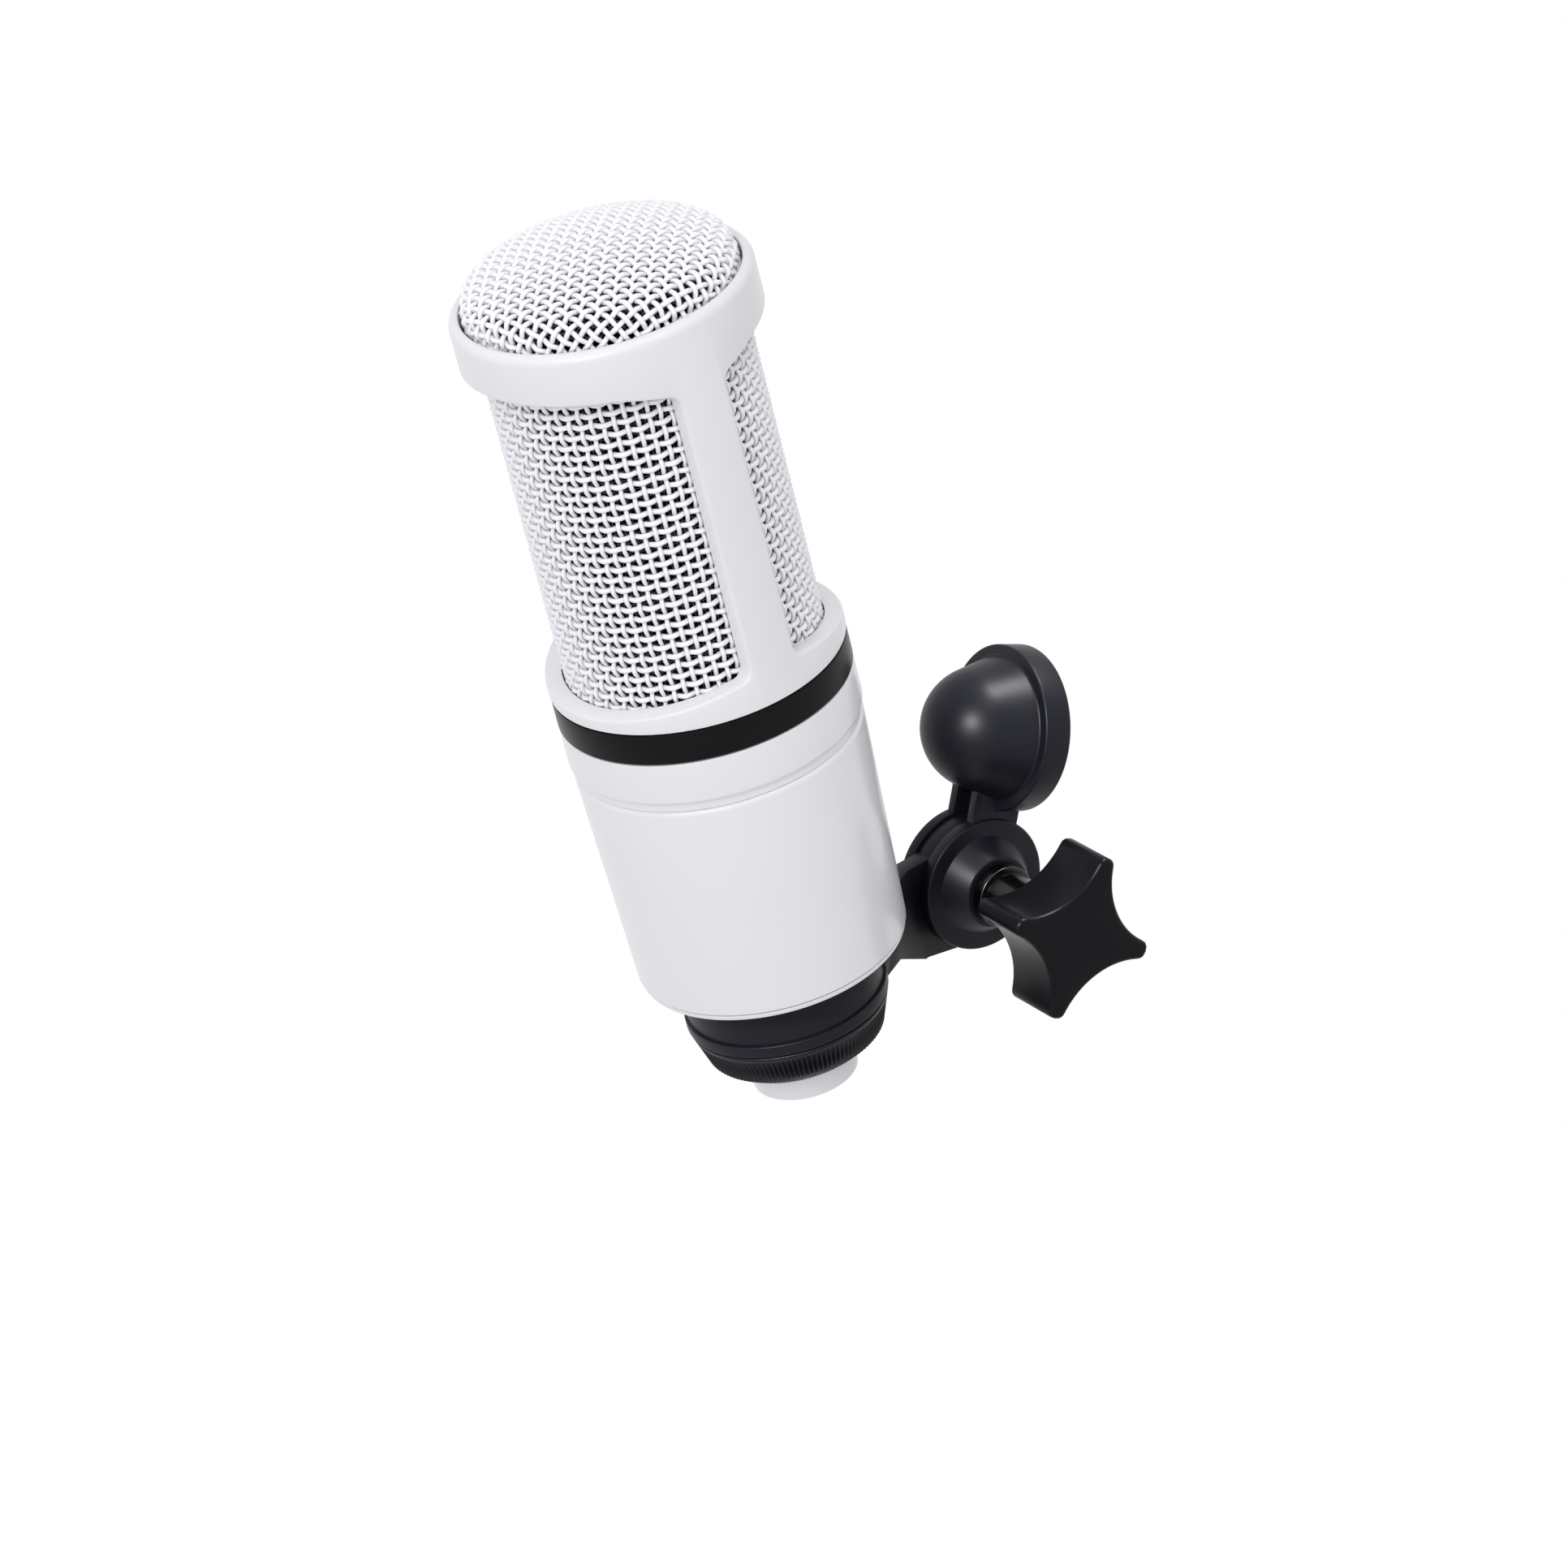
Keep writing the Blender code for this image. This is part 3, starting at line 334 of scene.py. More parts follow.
# Printed strip: smooth and even, with only a slight waver in its gloss.
black_strip, tree, shader, place = surface("smooth_black_strip")
shader.inputs["Specular IOR Level"].default_value = 0.10
waver = add(tree, "TexNoise", {"Vector": place, "Scale": per_mm(5), "Detail": 2.0})
colour = add(
    tree, "Mix", {0: waver.outputs["Fac"], 6: linear("#0C0C0E"), 7: linear("#111113")}, data_type="RGBA"
)
tree.links.new(colour.outputs[2], shader.inputs["Base Color"])
spread = add(tree, "MapRange", {0: waver.outputs["Fac"], 3: 0.26, 4: 0.34})
tree.links.new(spread.outputs[0], shader.inputs["Roughness"])
print("made", black_nylon.name, "and", black_strip.name)

# %% [markdown]
# ## Metals
#
# The clamp bolt is steel with fine rings from the lathe, in a dark metal colour that is painted
# reflection of the black pieces round it. The thread bush is brass. The nut and the output's pins are
# plated bright. A metal is only its reflection, so its colour is the tint of that reflection and its
# roughness tells how it was finished.

# %% Metals
# Plated steel: sharp reflections, broken by fine turning marks.
plated, tree, shader, place = surface("bright_plated_steel")
shader.inputs["Metallic"].default_value = 1.0
shader.inputs["Base Color"].default_value = linear("#C4C2BC")
marks = add(tree, "Mapping", {"Vector": place, "Scale": (40, per_mm(0.25), 40)})
rings = add(tree, "TexNoise", {"Vector": marks.outputs[0], "Scale": 1.0, "Detail": 2.0})
spread = add(tree, "MapRange", {0: rings.outputs["Fac"], 3: 0.12, 4: 0.26})
tree.links.new(spread.outputs[0], shader.inputs["Roughness"])

# Clamp bolt: the same turned marks on a dark metal colour, painted reflection of the black boss and knob.
bolt_metal_painted_reflection, tree, shader, place = surface("dark_metal_painted_reflection")
shader.inputs["Metallic"].default_value = 1.0
shader.inputs["Base Color"].default_value = linear("#3C3A39")
marks = add(tree, "Mapping", {"Vector": place, "Scale": (40, per_mm(0.25), 40)})
rings = add(tree, "TexNoise", {"Vector": marks.outputs[0], "Scale": 1.0, "Detail": 2.0})
spread = add(tree, "MapRange", {0: rings.outputs["Fac"], 3: 0.16, 4: 0.30})
tree.links.new(spread.outputs[0], shader.inputs["Roughness"])

# Brass: warm, turned, dulled a little in patches by handling.
brass, tree, shader, place = surface("turned_brass")
shader.inputs["Metallic"].default_value = 1.0
dull = add(tree, "TexNoise", {"Vector": place, "Scale": per_mm(2.5), "Detail": 3.0})
colour = add(
    tree, "Mix", {0: dull.outputs["Fac"], 6: linear("#D8B666"), 7: linear("#B48F47")}, data_type="RGBA"
)
tree.links.new(colour.outputs[2], shader.inputs["Base Color"])
spread = add(tree, "MapRange", {0: dull.outputs["Fac"], 3: 0.20, 4: 0.38})
tree.links.new(spread.outputs[0], shader.inputs["Roughness"])

# Cast alloy: grey and rough, with a sandy grain of half a millimetre.
alloy, tree, shader, place = surface("cast_zinc_alloy")
shader.inputs["Metallic"].default_value = 1.0
sand = add(tree, "TexNoise", {"Vector": place, "Scale": per_mm(0.5), "Detail": 3.0})
colour = add(
    tree, "Mix", {0: sand.outputs["Fac"], 6: linear("#B9B9BC"), 7: linear("#9C9CA0")}, data_type="RGBA"
)
tree.links.new(colour.outputs[2], shader.inputs["Base Color"])
spread = add(tree, "MapRange", {0: sand.outputs["Fac"], 3: 0.35, 4: 0.55})
tree.links.new(spread.outputs[0], shader.inputs["Roughness"])

# Gold on polymer film: bright, thin and slightly rippled.
gold_film, tree, shader, place = surface("gold_sputtered_film")
shader.inputs["Metallic"].default_value = 1.0
shader.inputs["Base Color"].default_value = linear("#E8C26A")
shader.inputs["Roughness"].default_value = 0.18
ripple = add(tree, "TexNoise", {"Vector": place, "Scale": per_mm(3), "Detail": 1.0})
bump = add(tree, "Bump", {"Height": ripple.outputs["Fac"], "Strength": 0.1, "Distance": 0.1 * MM})
tree.links.new(bump.outputs[0], shader.inputs["Normal"])
print("made", [thing.name for thing in (plated, bolt_metal_painted_reflection, brass, alloy, gold_film)])

# %% [markdown]
# ## Finishes inside
#
# Behind the wires lies a dark lining, and inside the barrel a green board with its parts. Hardly any of
# it shows through the grille, but each piece is a part of its own and gets its own finish.

# %% Finishes inside
# Foam lining: matt black, with pores of half a millimetre.
lining_foam, tree, shader, place = surface("black_foam_lining")
shader.inputs["Roughness"].default_value = 0.95
shader.inputs["Specular IOR Level"].default_value = 0.05
pores = add(tree, "TexVoronoi", {"Vector": place, "Scale": per_mm(0.6)})
colour = add(
    tree, "Mix", {0: pores.outputs["Distance"], 6: linear("#030303"), 7: linear("#0A0A0A")}, data_type="RGBA"
)
tree.links.new(colour.outputs[2], shader.inputs["Base Color"])

# Solder mask: glossy green over copper tracks that run in steps two millimetres apart.
board_mask, tree, shader, place = surface("green_solder_mask")
shader.inputs["Roughness"].default_value = 0.3
tracks = add(tree, "Mapping", {"Vector": place, "Rotation": (0, math.pi / 2, 0)})
lanes = add(tree, "TexBrick", {
    "Vector": tracks.outputs[0], "Color1": linear("#0E5A2C"), "Color2": linear("#0B4A24"),
    "Mortar": linear("#2C8A4A"), "Scale": per_mm(4), "Mortar Size": 0.04,
})
tree.links.new(lanes.outputs["Color"], shader.inputs["Base Color"])

# Shrink sleeve: blue vinyl drawn tight round the can, a little wrinkled.
sleeve, tree, shader, place = surface("blue_shrink_sleeve")
shader.inputs["Base Color"].default_value = linear("#2A3F7A")
shader.inputs["Roughness"].default_value = 0.32
wrinkle = add(tree, "TexNoise", {"Vector": place, "Scale": per_mm(1.5), "Detail": 2.0})
bump = add(tree, "Bump", {"Height": wrinkle.outputs["Fac"], "Strength": 0.15, "Distance": 0.1 * MM})
tree.links.new(bump.outputs[0], shader.inputs["Normal"])

# Insulator: black phenolic, dull and faintly mottled.
phenolic, tree, shader, place = surface("black_phenolic")
mottle = add(tree, "TexNoise", {"Vector": place, "Scale": per_mm(1.0), "Detail": 3.0})
colour = add(
    tree, "Mix", {0: mottle.outputs["Fac"], 6: linear("#1A1A1A"), 7: linear("#262422")}, data_type="RGBA"
)
tree.links.new(colour.outputs[2], shader.inputs["Base Color"])
shader.inputs["Roughness"].default_value = 0.5
print("made", [thing.name for thing in (lining_foam, board_mask, sleeve, phenolic)])

# %% [markdown]
# ## Turning
#
# Most of this object was made on a lathe or in a round mould, so most pieces start as half a section. A
# circle primitive gives a closed loop with as many points as the section has corners; each point is set
# to its radius and height, and the Spin operator sweeps the loop round the axis. Corners get a real
# radius first, because it is the small round edge that catches the light. All sizes are in millimetres.


# %% Turning helpers
def rounded(corners, steps=6):
    """An outline through (x, y) corners, with an arc where a corner has a radius as its third value."""
    outline = []
    for index, (x, y, *radius) in enumerate(corners):
        here = Vector((x, y))
        if not radius:
            outline.append(here)
            continue
        back = (Vector(corners[index - 1][:2]) - here).normalized()
        ahead = (Vector(corners[(index + 1) % len(corners)][:2]) - here).normalized()
        half = back.angle(ahead) / 2
        centre = here + (back + ahead).normalized() * radius[0] / math.sin(half)
        start = here + back * radius[0] / math.tan(half) - centre
        sweep = start.angle_signed(here + ahead * radius[0] / math.tan(half) - centre)
        outline += [centre + Matrix.Rotation(-sweep * step / steps, 2) @ start for step in range(steps + 1)]
    return outline


def loop_of(name, points):
    """A closed loop of edges through points in millimetres, begun as a circle."""
    bpy.ops.object.select_all(action="DESELECT")
    bpy.ops.mesh.primitive_circle_add(vertices=len(points), radius=1.0)
    made = bpy.context.object
    made.name = made.data.name = name
    for vertex, point in zip(made.data.vertices, points):
        vertex.co = Vector(point) * MM
    return made


def turned(name, outline, steps=192):
    """A round solid about the Z axis, spun from a section of (radius, height) corners."""
    made = loop_of(name, [(x, 0, z) for x, z in outline])
    bpy.ops.object.mode_set(mode="EDIT")
    bpy.ops.mesh.select_all(action="SELECT")
    bpy.ops.mesh.spin(steps=steps, angle=math.tau, center=(0, 0, 0), axis=(0, 0, 1))
    bpy.ops.mesh.select_all(action="SELECT")
    bpy.ops.mesh.remove_doubles(threshold=0.001 * MM)
    bpy.ops.mesh.delete_loose()
    bpy.ops.mesh.select_all(action="SELECT")
    bpy.ops.mesh.normals_make_consistent(inside=False)
    bpy.ops.object.mode_set(mode="OBJECT")
    return made


def only(piece):
    """Makes a piece the one selected and active object."""
    bpy.ops.object.select_all(action="DESELECT")
    piece.select_set(True)
    bpy.context.view_layer.objects.active = piece


def settle(piece, place, turn=(0, 0, 0)):
    """Moves a piece from the origin to its place and keeps that place in its mesh."""
    only(piece)
    piece.location = place
    piece.rotation_euler = turn
    bpy.ops.object.transform_apply(location=True, rotation=True, scale=True)


def hand_in(piece, body, slot, finish, *nodes, sharp=35):
    """Smooths a finished piece, gives it its finish, and hangs it on its body in place of CAD nodes."""
    only(piece)
    bpy.ops.object.shade_smooth_by_angle(angle=math.radians(sharp))
    piece.data.materials.clear()
    piece.data.materials.append(finish)
    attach(piece, body)
    if nodes:
        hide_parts(*nodes)
    if finish in (black_nylon, black_phenolic, bolt_metal_painted_reflection):
        mount_lit.objects.link(piece)
    if finish is white_wire:
        wire_lit.objects.link(piece)
    triangles = sum(len(face.vertices) - 2 for face in piece.data.polygons)
    print(piece.name, "has", triangles, "triangles and rides on", body)


print("helpers ready")

# %% [markdown]
# ## Barrel and base ring
#
# The barrel is a tapered sleeve that the base ring holds up against the head. Its upper edge is rounded,
# which makes the soft groove under the skirt, and a hair-thin line shows where the base ring begins.

# %% Barrel and base ring
BARREL_FOOT, BARREL_HEAD = 1.3, 43.05
BARREL_FOOT_RADIUS, BARREL_HEAD_RADIUS = 23.9, 25.4
BARREL_WALL = 1.3

barrel = turned("barrel_sleeve", rounded([
    (BARREL_HEAD_RADIUS, BARREL_HEAD, 1.0), (BARREL_FOOT_RADIUS, BARREL_FOOT, 0.15),
    (BARREL_FOOT_RADIUS - BARREL_WALL, BARREL_FOOT), (BARREL_HEAD_RADIUS - BARREL_WALL, BARREL_HEAD, 0.2),
]), 256)
settle(barrel, seat)
hand_in(barrel, "microphone", "white_paint", white_paint, "barrel")

base_ring = turned("base_ring_turned", rounded([
    (23.75, 1.0, 0.15), (23.45, 0, 0.45), (12.9, 0, 0.2), (12.9, 1.0),
]), 256)
settle(base_ring, seat)
hand_in(base_ring, "microphone", "white_paint", white_paint, "base_ring")

# %% [markdown]
# ## Head frame
#
# One casting carries the head: a skirt, a seat for the trim band, a collar, two columns and the ring
# round the dome. It is turned first as a plain tube, then two big cutters take away the windows and leave
# the columns. The windows' outer edges are then picked out by their place on the tube and bevelled, as on
# the real casting.


# %% Cutting helpers
def extruded(name, outline, start, end):
    """A plate with an outline in X and Z, extruded along Y from start to end."""
    made = loop_of(name, [(x, start, z) for x, z in outline])
    bpy.ops.object.mode_set(mode="EDIT")
    bpy.ops.mesh.select_all(action="SELECT")
    bpy.ops.mesh.edge_face_add()
    bpy.ops.mesh.extrude_region_move(TRANSFORM_OT_translate={"value": (0, (end - start) * MM, 0)})
    bpy.ops.mesh.select_all(action="SELECT")
    bpy.ops.mesh.normals_make_consistent(inside=False)
    bpy.ops.object.mode_set(mode="OBJECT")
    return made


def combine(piece, operation, *others):
    """Joins or cuts a piece with others, which are used up."""
    for other in others:
        only(piece)
        step = piece.modifiers.new(other.name, "BOOLEAN")
        step.operation = operation
        step.solver = "EXACT"
        step.object = other
        bpy.ops.object.modifier_apply(modifier=step.name)
        bpy.data.objects.remove(other)
    return piece


def bevel_where(piece, chosen, width, segments=3, sharpness=40):
    """Bevels the sharp edges whose two ends both satisfy a test of their place in millimetres."""
    only(piece)
    bpy.ops.object.mode_set(mode="EDIT")
    bpy.ops.mesh.select_mode(type="EDGE")
    bpy.ops.mesh.select_all(action="DESELECT")
    bpy.ops.mesh.edges_select_sharp(sharpness=math.radians(sharpness))
    bpy.ops.object.mode_set(mode="OBJECT")
    corners = piece.data.vertices
    for edge in piece.data.edges:
        edge.select = edge.select and all(chosen(corners[end].co / MM) for end in edge.vertices)
    picked = sum(edge.select for edge in piece.data.edges)
    bpy.ops.object.mode_set(mode="EDIT")
    bpy.ops.mesh.bevel(offset=width * MM, segments=segments, affect="EDGES", clamp_overlap=False)
    bpy.ops.mesh.select_mode(type="VERT")
    bpy.ops.object.mode_set(mode="OBJECT")
    return picked


print("cutting helpers ready")

# %% Head frame
HEAD_RADIUS, HEAD_BORE = 25.9, 22.9
SILL, LINTEL, HEAD_TOP = 60.75, 121.1, 129.75
COLUMN_HALF, WINDOW_CORNER = 4.5, 2.2
SILL_RISE, LINTEL_DROP = 3.9, 3.3
HEAD_TURN = math.radians(1.7)
DOME_SEAT, DOME_BORE = 123.75, 24.0
GROOVE_FLOOR = 25.0
BAND_HEAD, BAND_FOOT, BAND_GAP = 58.6, 52.5, 0.25

head = turned("head_casting", rounded([
    (HEAD_RADIUS, HEAD_TOP, 1.6), (HEAD_RADIUS, BAND_HEAD, 0.3), (24.5, BAND_HEAD), (24.5, BAND_FOOT),
    (25.75, BAND_FOOT, 0.3), (25.75, 44.9, 0.8), (GROOVE_FLOOR, 44.5, 0.3), (GROOVE_FLOOR, 43.1), (23.58, 43.1),
    (23.58, 36.9, 0.3), (21.98, 36.9, 0.3), (21.98, 55.75), (HEAD_BORE, 55.75), (HEAD_BORE, DOME_SEAT),
    (DOME_BORE, DOME_SEAT), (DOME_BORE, HEAD_TOP, 0.25),
]), 90)
for side in (-1, 1):
    window = rounded([
        (side * 60, SILL), (side * HEAD_RADIUS, SILL), (side * COLUMN_HALF, SILL + SILL_RISE, WINDOW_CORNER),
        (side * COLUMN_HALF, LINTEL - LINTEL_DROP, WINDOW_CORNER), (side * 14.0, LINTEL - 0.9, 6.0),
        (side * HEAD_RADIUS, LINTEL), (side * 60, LINTEL),
    ], 8)
    cutter = extruded("window_cutter", window, -60, 60)
    settle(cutter, (0, 0, 0), (0, 0, HEAD_TURN))
    combine(head, "DIFFERENCE", cutter)


def on_window_edge(point):
    return abs(math.hypot(point.x, point.y) - HEAD_RADIUS) < 0.05 and SILL - 0.1 < point.z < LINTEL + 0.1


bpy.ops.object.mode_set(mode="EDIT")
bpy.ops.mesh.select_all(action="SELECT")
bpy.ops.mesh.remove_doubles(threshold=0.05 * MM)
bpy.ops.object.mode_set(mode="OBJECT")
picked = bevel_where(head, on_window_edge, 0.45)
settle(head, seat)
hand_in(head, "microphone", "white_paint", white_paint, "head_frame")
print("window edges bevelled:", picked)

# %% [markdown]
# ## Trim band
#
# A thin black strip lies in a shallow seat round the head. It stays bare here. Its own rounded edges and
# the slim gaps above and below make the two fine lines that frame it.

# %% Trim band
band = turned("trim_strip", rounded([
    (25.8, BAND_HEAD - BAND_GAP, 0.2), (25.8, BAND_FOOT + BAND_GAP, 0.2),
    (24.8, BAND_FOOT + BAND_GAP), (24.8, BAND_HEAD - BAND_GAP),
]), 256)
settle(band, seat)
hand_in(band, "microphone", "black_trim", black_strip, "trim_band")

# %% [markdown]
# ## Woven wire round the head
#
# The grille is a plain weave: upright wires and hoops, each passing over one and under the next. A wire
# is a wavy path with a round section, so it is drawn as a curve with a bevel depth and then made a mesh.
# The spacing was measured from the photograph: seventy-two uprights round the wall, nearly two
# millimetres apart, and hoops at the same spacing.


# %% Wire helper
def wires(name, paths, thickness, closed=False, resolution=2):
    """Round wires of a thickness in millimetres along paths of points, made one mesh."""
    bpy.ops.object.select_all(action="DESELECT")
    curve = bpy.data.curves.new(name, "CURVE")
    curve.dimensions = "3D"
    curve.bevel_depth = thickness / 2 * MM
    curve.bevel_resolution = resolution
    curve.use_fill_caps = not closed
    for path in paths:
        spline = curve.splines.new("POLY")
        spline.points.add(len(path) - 1)
        for knot, point in zip(spline.points, path):
            knot.co = (*(Vector(point) * MM), 1)
        spline.use_cyclic_u = closed
    made = bpy.data.objects.new(name, curve)
    bpy.context.scene.collection.objects.link(made)
    only(made)
    bpy.ops.object.convert(target="MESH")
    bpy.ops.object.mode_set(mode="EDIT")
    bpy.ops.mesh.select_all(action="SELECT")
    bpy.ops.mesh.normals_make_consistent(inside=False)
    bpy.ops.object.mode_set(mode="OBJECT")
    return bpy.context.object


print("wire helper ready")

# %% Wall weave
UPRIGHTS = 72
WEAVE_RADIUS = 21.9
WEAVE_PITCH = math.tau * WEAVE_RADIUS / UPRIGHTS
WIRE = 0.85
UPRIGHT_WIRE, HOOP_WIRE, DOME_WIRE = WIRE * 0.9, WIRE * 1.08, WIRE * 1.03
WALL_FOOT, WALL_HEAD = 58.4, 123.6
hoop_count = int((WALL_HEAD - WALL_FOOT) / WEAVE_PITCH)
first_hoop = WALL_FOOT + (WALL_HEAD - WALL_FOOT - (hoop_count - 1) * WEAVE_PITCH) / 2


def upright(number):
    """One upright wire, which bulges outwards at every second hoop."""
    turn = math.tau * number / UPRIGHTS
    path = []
    steps = round((WALL_HEAD - WALL_FOOT) / WEAVE_PITCH * 4)
    for step in range(steps + 1):
        height = WALL_FOOT + (WALL_HEAD - WALL_FOOT) * step / steps
        wave = math.cos(math.pi * (height - first_hoop) / WEAVE_PITCH + math.pi * number)
        radius = WEAVE_RADIUS + wave * WIRE / 2
        path.append((radius * math.cos(turn), radius * math.sin(turn), height))
    return path


def hoop(number):
    """One hoop, which passes inside the uprights that bulge outwards at its height."""
    path = []
    for step in range(UPRIGHTS * 4):
        turn = math.tau * step / (UPRIGHTS * 4)
        wave = math.cos(turn * UPRIGHTS / 2 + math.pi * number)
        radius = WEAVE_RADIUS - wave * WIRE / 2
        path.append((radius * math.cos(turn), radius * math.sin(turn), first_hoop + number * WEAVE_PITCH))
    return path


upright_paths = [upright(number) for number in range(UPRIGHTS)]
wall_uprights = wires("wall_weave_uprights", upright_paths, UPRIGHT_WIRE)
settle(wall_uprights, seat)
hand_in(wall_uprights, "microphone", "white_wire", white_wire, "wall_grille", sharp=60)
hoop_paths = [hoop(number) for number in range(hoop_count)]
wall_hoops = wires("wall_weave_hoops", hoop_paths, HOOP_WIRE, closed=True)
settle(wall_hoops, seat)
hand_in(wall_hoops, "microphone", "white_wire", white_wire, "wall_grille", sharp=60)
print("pitch", round(WEAVE_PITCH, 3), "hoops", hoop_count)

# %% [markdown]
# ## Woven dome
#
# The top is a disc of the same cloth pressed over a former: nearly flat in the middle, with a round
# shoulder and a short straight wall that sits in the head ring. Each wire is first laid out flat, and
# every point is then carried to the dome by keeping its direction and its distance from the middle along
# the surface. That is what shears the squares into diamonds at four places round the shoulder.

# %% Dome weave
DOME_EDGE = 22.8
DOME_TOP = 137.5
DOME_SHOULDER = 4.0
DOME_LEAN = math.radians(20)
DOME_FOOT = 124.2
CLOTH_TURN = math.radians(-85.0)
dome_flat = DOME_EDGE - DOME_SHOULDER * (1 - math.sin(DOME_LEAN))
cap_radius = dome_flat / math.sin(DOME_LEAN)
dome_cap = cap_radius * DOME_LEAN
dome_bend = DOME_SHOULDER * (math.pi / 2 - DOME_LEAN)
dome_brim = DOME_TOP - cap_radius * (1 - math.cos(DOME_LEAN))
dome_wall = dome_brim - DOME_SHOULDER * math.cos(DOME_LEAN) - DOME_FOOT
CLOTH_RADIUS = dome_cap + dome_bend + dome_wall


def pressed(u, v, lift, inset=0.0):
    """Where a point of the flat cloth ends up on the dome, lifted off the surface by a distance."""
    along = math.hypot(u, v)
    turn = math.atan2(v, u) + CLOTH_TURN
    if along < dome_cap:
        lean = along / cap_radius
        radius, height = cap_radius * math.sin(lean), DOME_TOP - cap_radius * (1 - math.cos(lean))
    elif along < dome_cap + dome_bend:
        lean = DOME_LEAN + (along - dome_cap) / DOME_SHOULDER
        radius = dome_flat + DOME_SHOULDER * (math.sin(lean) - math.sin(DOME_LEAN))
        height = dome_brim - DOME_SHOULDER * (math.cos(DOME_LEAN) - math.cos(lean))
    else:
        lean = math.pi / 2
        radius, height = DOME_EDGE, DOME_FOOT + dome_wall - (along - dome_cap - dome_bend)
    radius += (lift - inset) * math.sin(lean)
    height += (lift - inset) * math.cos(lean)
    return radius * math.cos(turn), radius * math.sin(turn), height


def cloth_wires(across, pitch, wire, limit, steps_per_pitch, inset=0.0):
    """Every wire of one direction of the cloth, cut off at the disc's edge."""
    paths = []
    count = int(limit / pitch)
    for number in range(-count, count + 1):
        offset = number * pitch
        half = math.sqrt(max(limit**2 - offset**2, 0))
        if half < pitch:
            continue
        steps = max(4, round(2 * half / pitch * steps_per_pitch))
        path = []
        for step in range(steps + 1):
            along = -half + 2 * half * step / steps
            lift = math.cos(math.pi * along / pitch + math.pi * (number + across)) * wire / 2
            u, v = (offset, along) if across else (along, offset)
            path.append(pressed(u, v, lift, inset))
        paths.append(path)
    return paths


dome_warp = wires("dome_weave_warp", cloth_wires(0, WEAVE_PITCH, WIRE, CLOTH_RADIUS, 4), DOME_WIRE)
settle(dome_warp, seat)
hand_in(dome_warp, "microphone", "white_wire", white_wire, "dome_grille", sharp=60)
dome_weft = wires("dome_weave_weft", cloth_wires(1, WEAVE_PITCH, WIRE, CLOTH_RADIUS, 4), DOME_WIRE)
settle(dome_weft, seat)
hand_in(dome_weft, "microphone", "white_wire", white_wire, "dome_grille", sharp=60)

# %% [markdown]
# ## Fine mesh and lining
#
# Between the heavy wires the photograph shows a second, much finer white mesh, and behind it black. The
# fine wires are only a sixth of a millimetre thick, so they are straight and have four sides. The lining
# is a cup that closes the view into the head.

# %% Fine mesh
FINE_PITCH = 0.88
FINE_WIRE = 0.14
FINE_RADIUS = 20.75

fine_count = round(math.tau * FINE_RADIUS / FINE_PITCH)
fine_paths = []
for number in range(fine_count):
    x, y = (FINE_RADIUS * function(math.tau * number / fine_count) for function in (math.cos, math.sin))
    fine_paths.append([(x, y, WALL_FOOT), (x, y, WALL_HEAD)])
# The fine wires are white; their grey finish is painted shade from the heavy weave in front.
fine_uprights = wires("fine_mesh_uprights", fine_paths, FINE_WIRE, resolution=0)
settle(fine_uprights, seat)
hand_in(fine_uprights, "microphone", "white_wire", gauze_painted_shade, "inner_screen", sharp=60)

rows = int((WALL_HEAD - WALL_FOOT) / FINE_PITCH)
fine_paths = []
for number in range(rows):
    height = WALL_FOOT + (number + 0.5) * FINE_PITCH
    turns = [math.tau * step / 96 for step in range(96)]
    fine_paths.append([(FINE_RADIUS * math.cos(t), FINE_RADIUS * math.sin(t), height) for t in turns])
fine_hoops = wires("fine_mesh_hoops", fine_paths, FINE_WIRE, closed=True, resolution=0)
settle(fine_hoops, seat)
hand_in(fine_hoops, "microphone", "white_wire", gauze_painted_shade, "inner_screen", sharp=60)

fine_limit = CLOTH_RADIUS - dome_wall
FINE_STEPS, FINE_INSET = 0.8, 1.25
fine_paths = []
for way in (0, 1):
    fine_paths += cloth_wires(way, FINE_PITCH, 0.0, fine_limit, FINE_STEPS, FINE_INSET)
fine_dome = wires("fine_mesh_dome", fine_paths, FINE_WIRE, resolution=0)
settle(fine_dome, seat)
hand_in(fine_dome, "microphone", "white_wire", gauze_painted_shade, "inner_screen", sharp=60)

# %% Lining
LINING_RADIUS = 20.35
lining = turned("foam_lining", rounded([
    (0.05, 133.2), (LINING_RADIUS, 133.2, 5.0), (LINING_RADIUS, WALL_FOOT), (LINING_RADIUS - 0.5, WALL_FOOT),
    (LINING_RADIUS - 0.5, 132.7, 4.5), (0.05, 132.7),
]), 96)
settle(lining, seat)
hand_in(lining, "microphone", "black_screen", lining_foam, "inner_screen")

# %% [markdown]
# ## Mount ring, arm and tongue
#
# The black ring under the barrel carries an arm that steps up beside the barrel and ends in the hinge's
# tongue. The arm's side view and its plan are two plates, and what they share is the arm, which widens
# from the tongue to the ring. Ring and arm are joined, the pivot hole is cut, and all sharp edges are
# softened.


# %% Softening helper
def soften(piece, width, segments=2, angle=35):
    """Bevels every edge sharper than an angle."""
    only(piece)
    step = piece.modifiers.new("soft_edges", "BEVEL")
    step.width = width * MM
    step.segments = segments
    step.limit_method = "ANGLE"
    step.angle_limit = math.radians(angle)
    step.use_clamp_overlap = True
    step.harden_normals = False
    bpy.ops.object.modifier_apply(modifier=step.name)


def arc(radius, start, end, steps, centre=(0, 0)):
    """Points round a centre from one angle to another."""
    turns = [start + (end - start) * step / steps for step in range(steps + 1)]
    return [(centre[0] + radius * math.cos(turn), centre[1] + radius * math.sin(turn)) for turn in turns]


print("softening helper ready")

# %% Mount ring and arm
RING_BORE, RING_FOOT = 12.9, -11.5
HINGE_REACH, HINGE_DROP = 41.0, 7.1
TONGUE_RADIUS, TONGUE_HALF = 11.7, 1.8

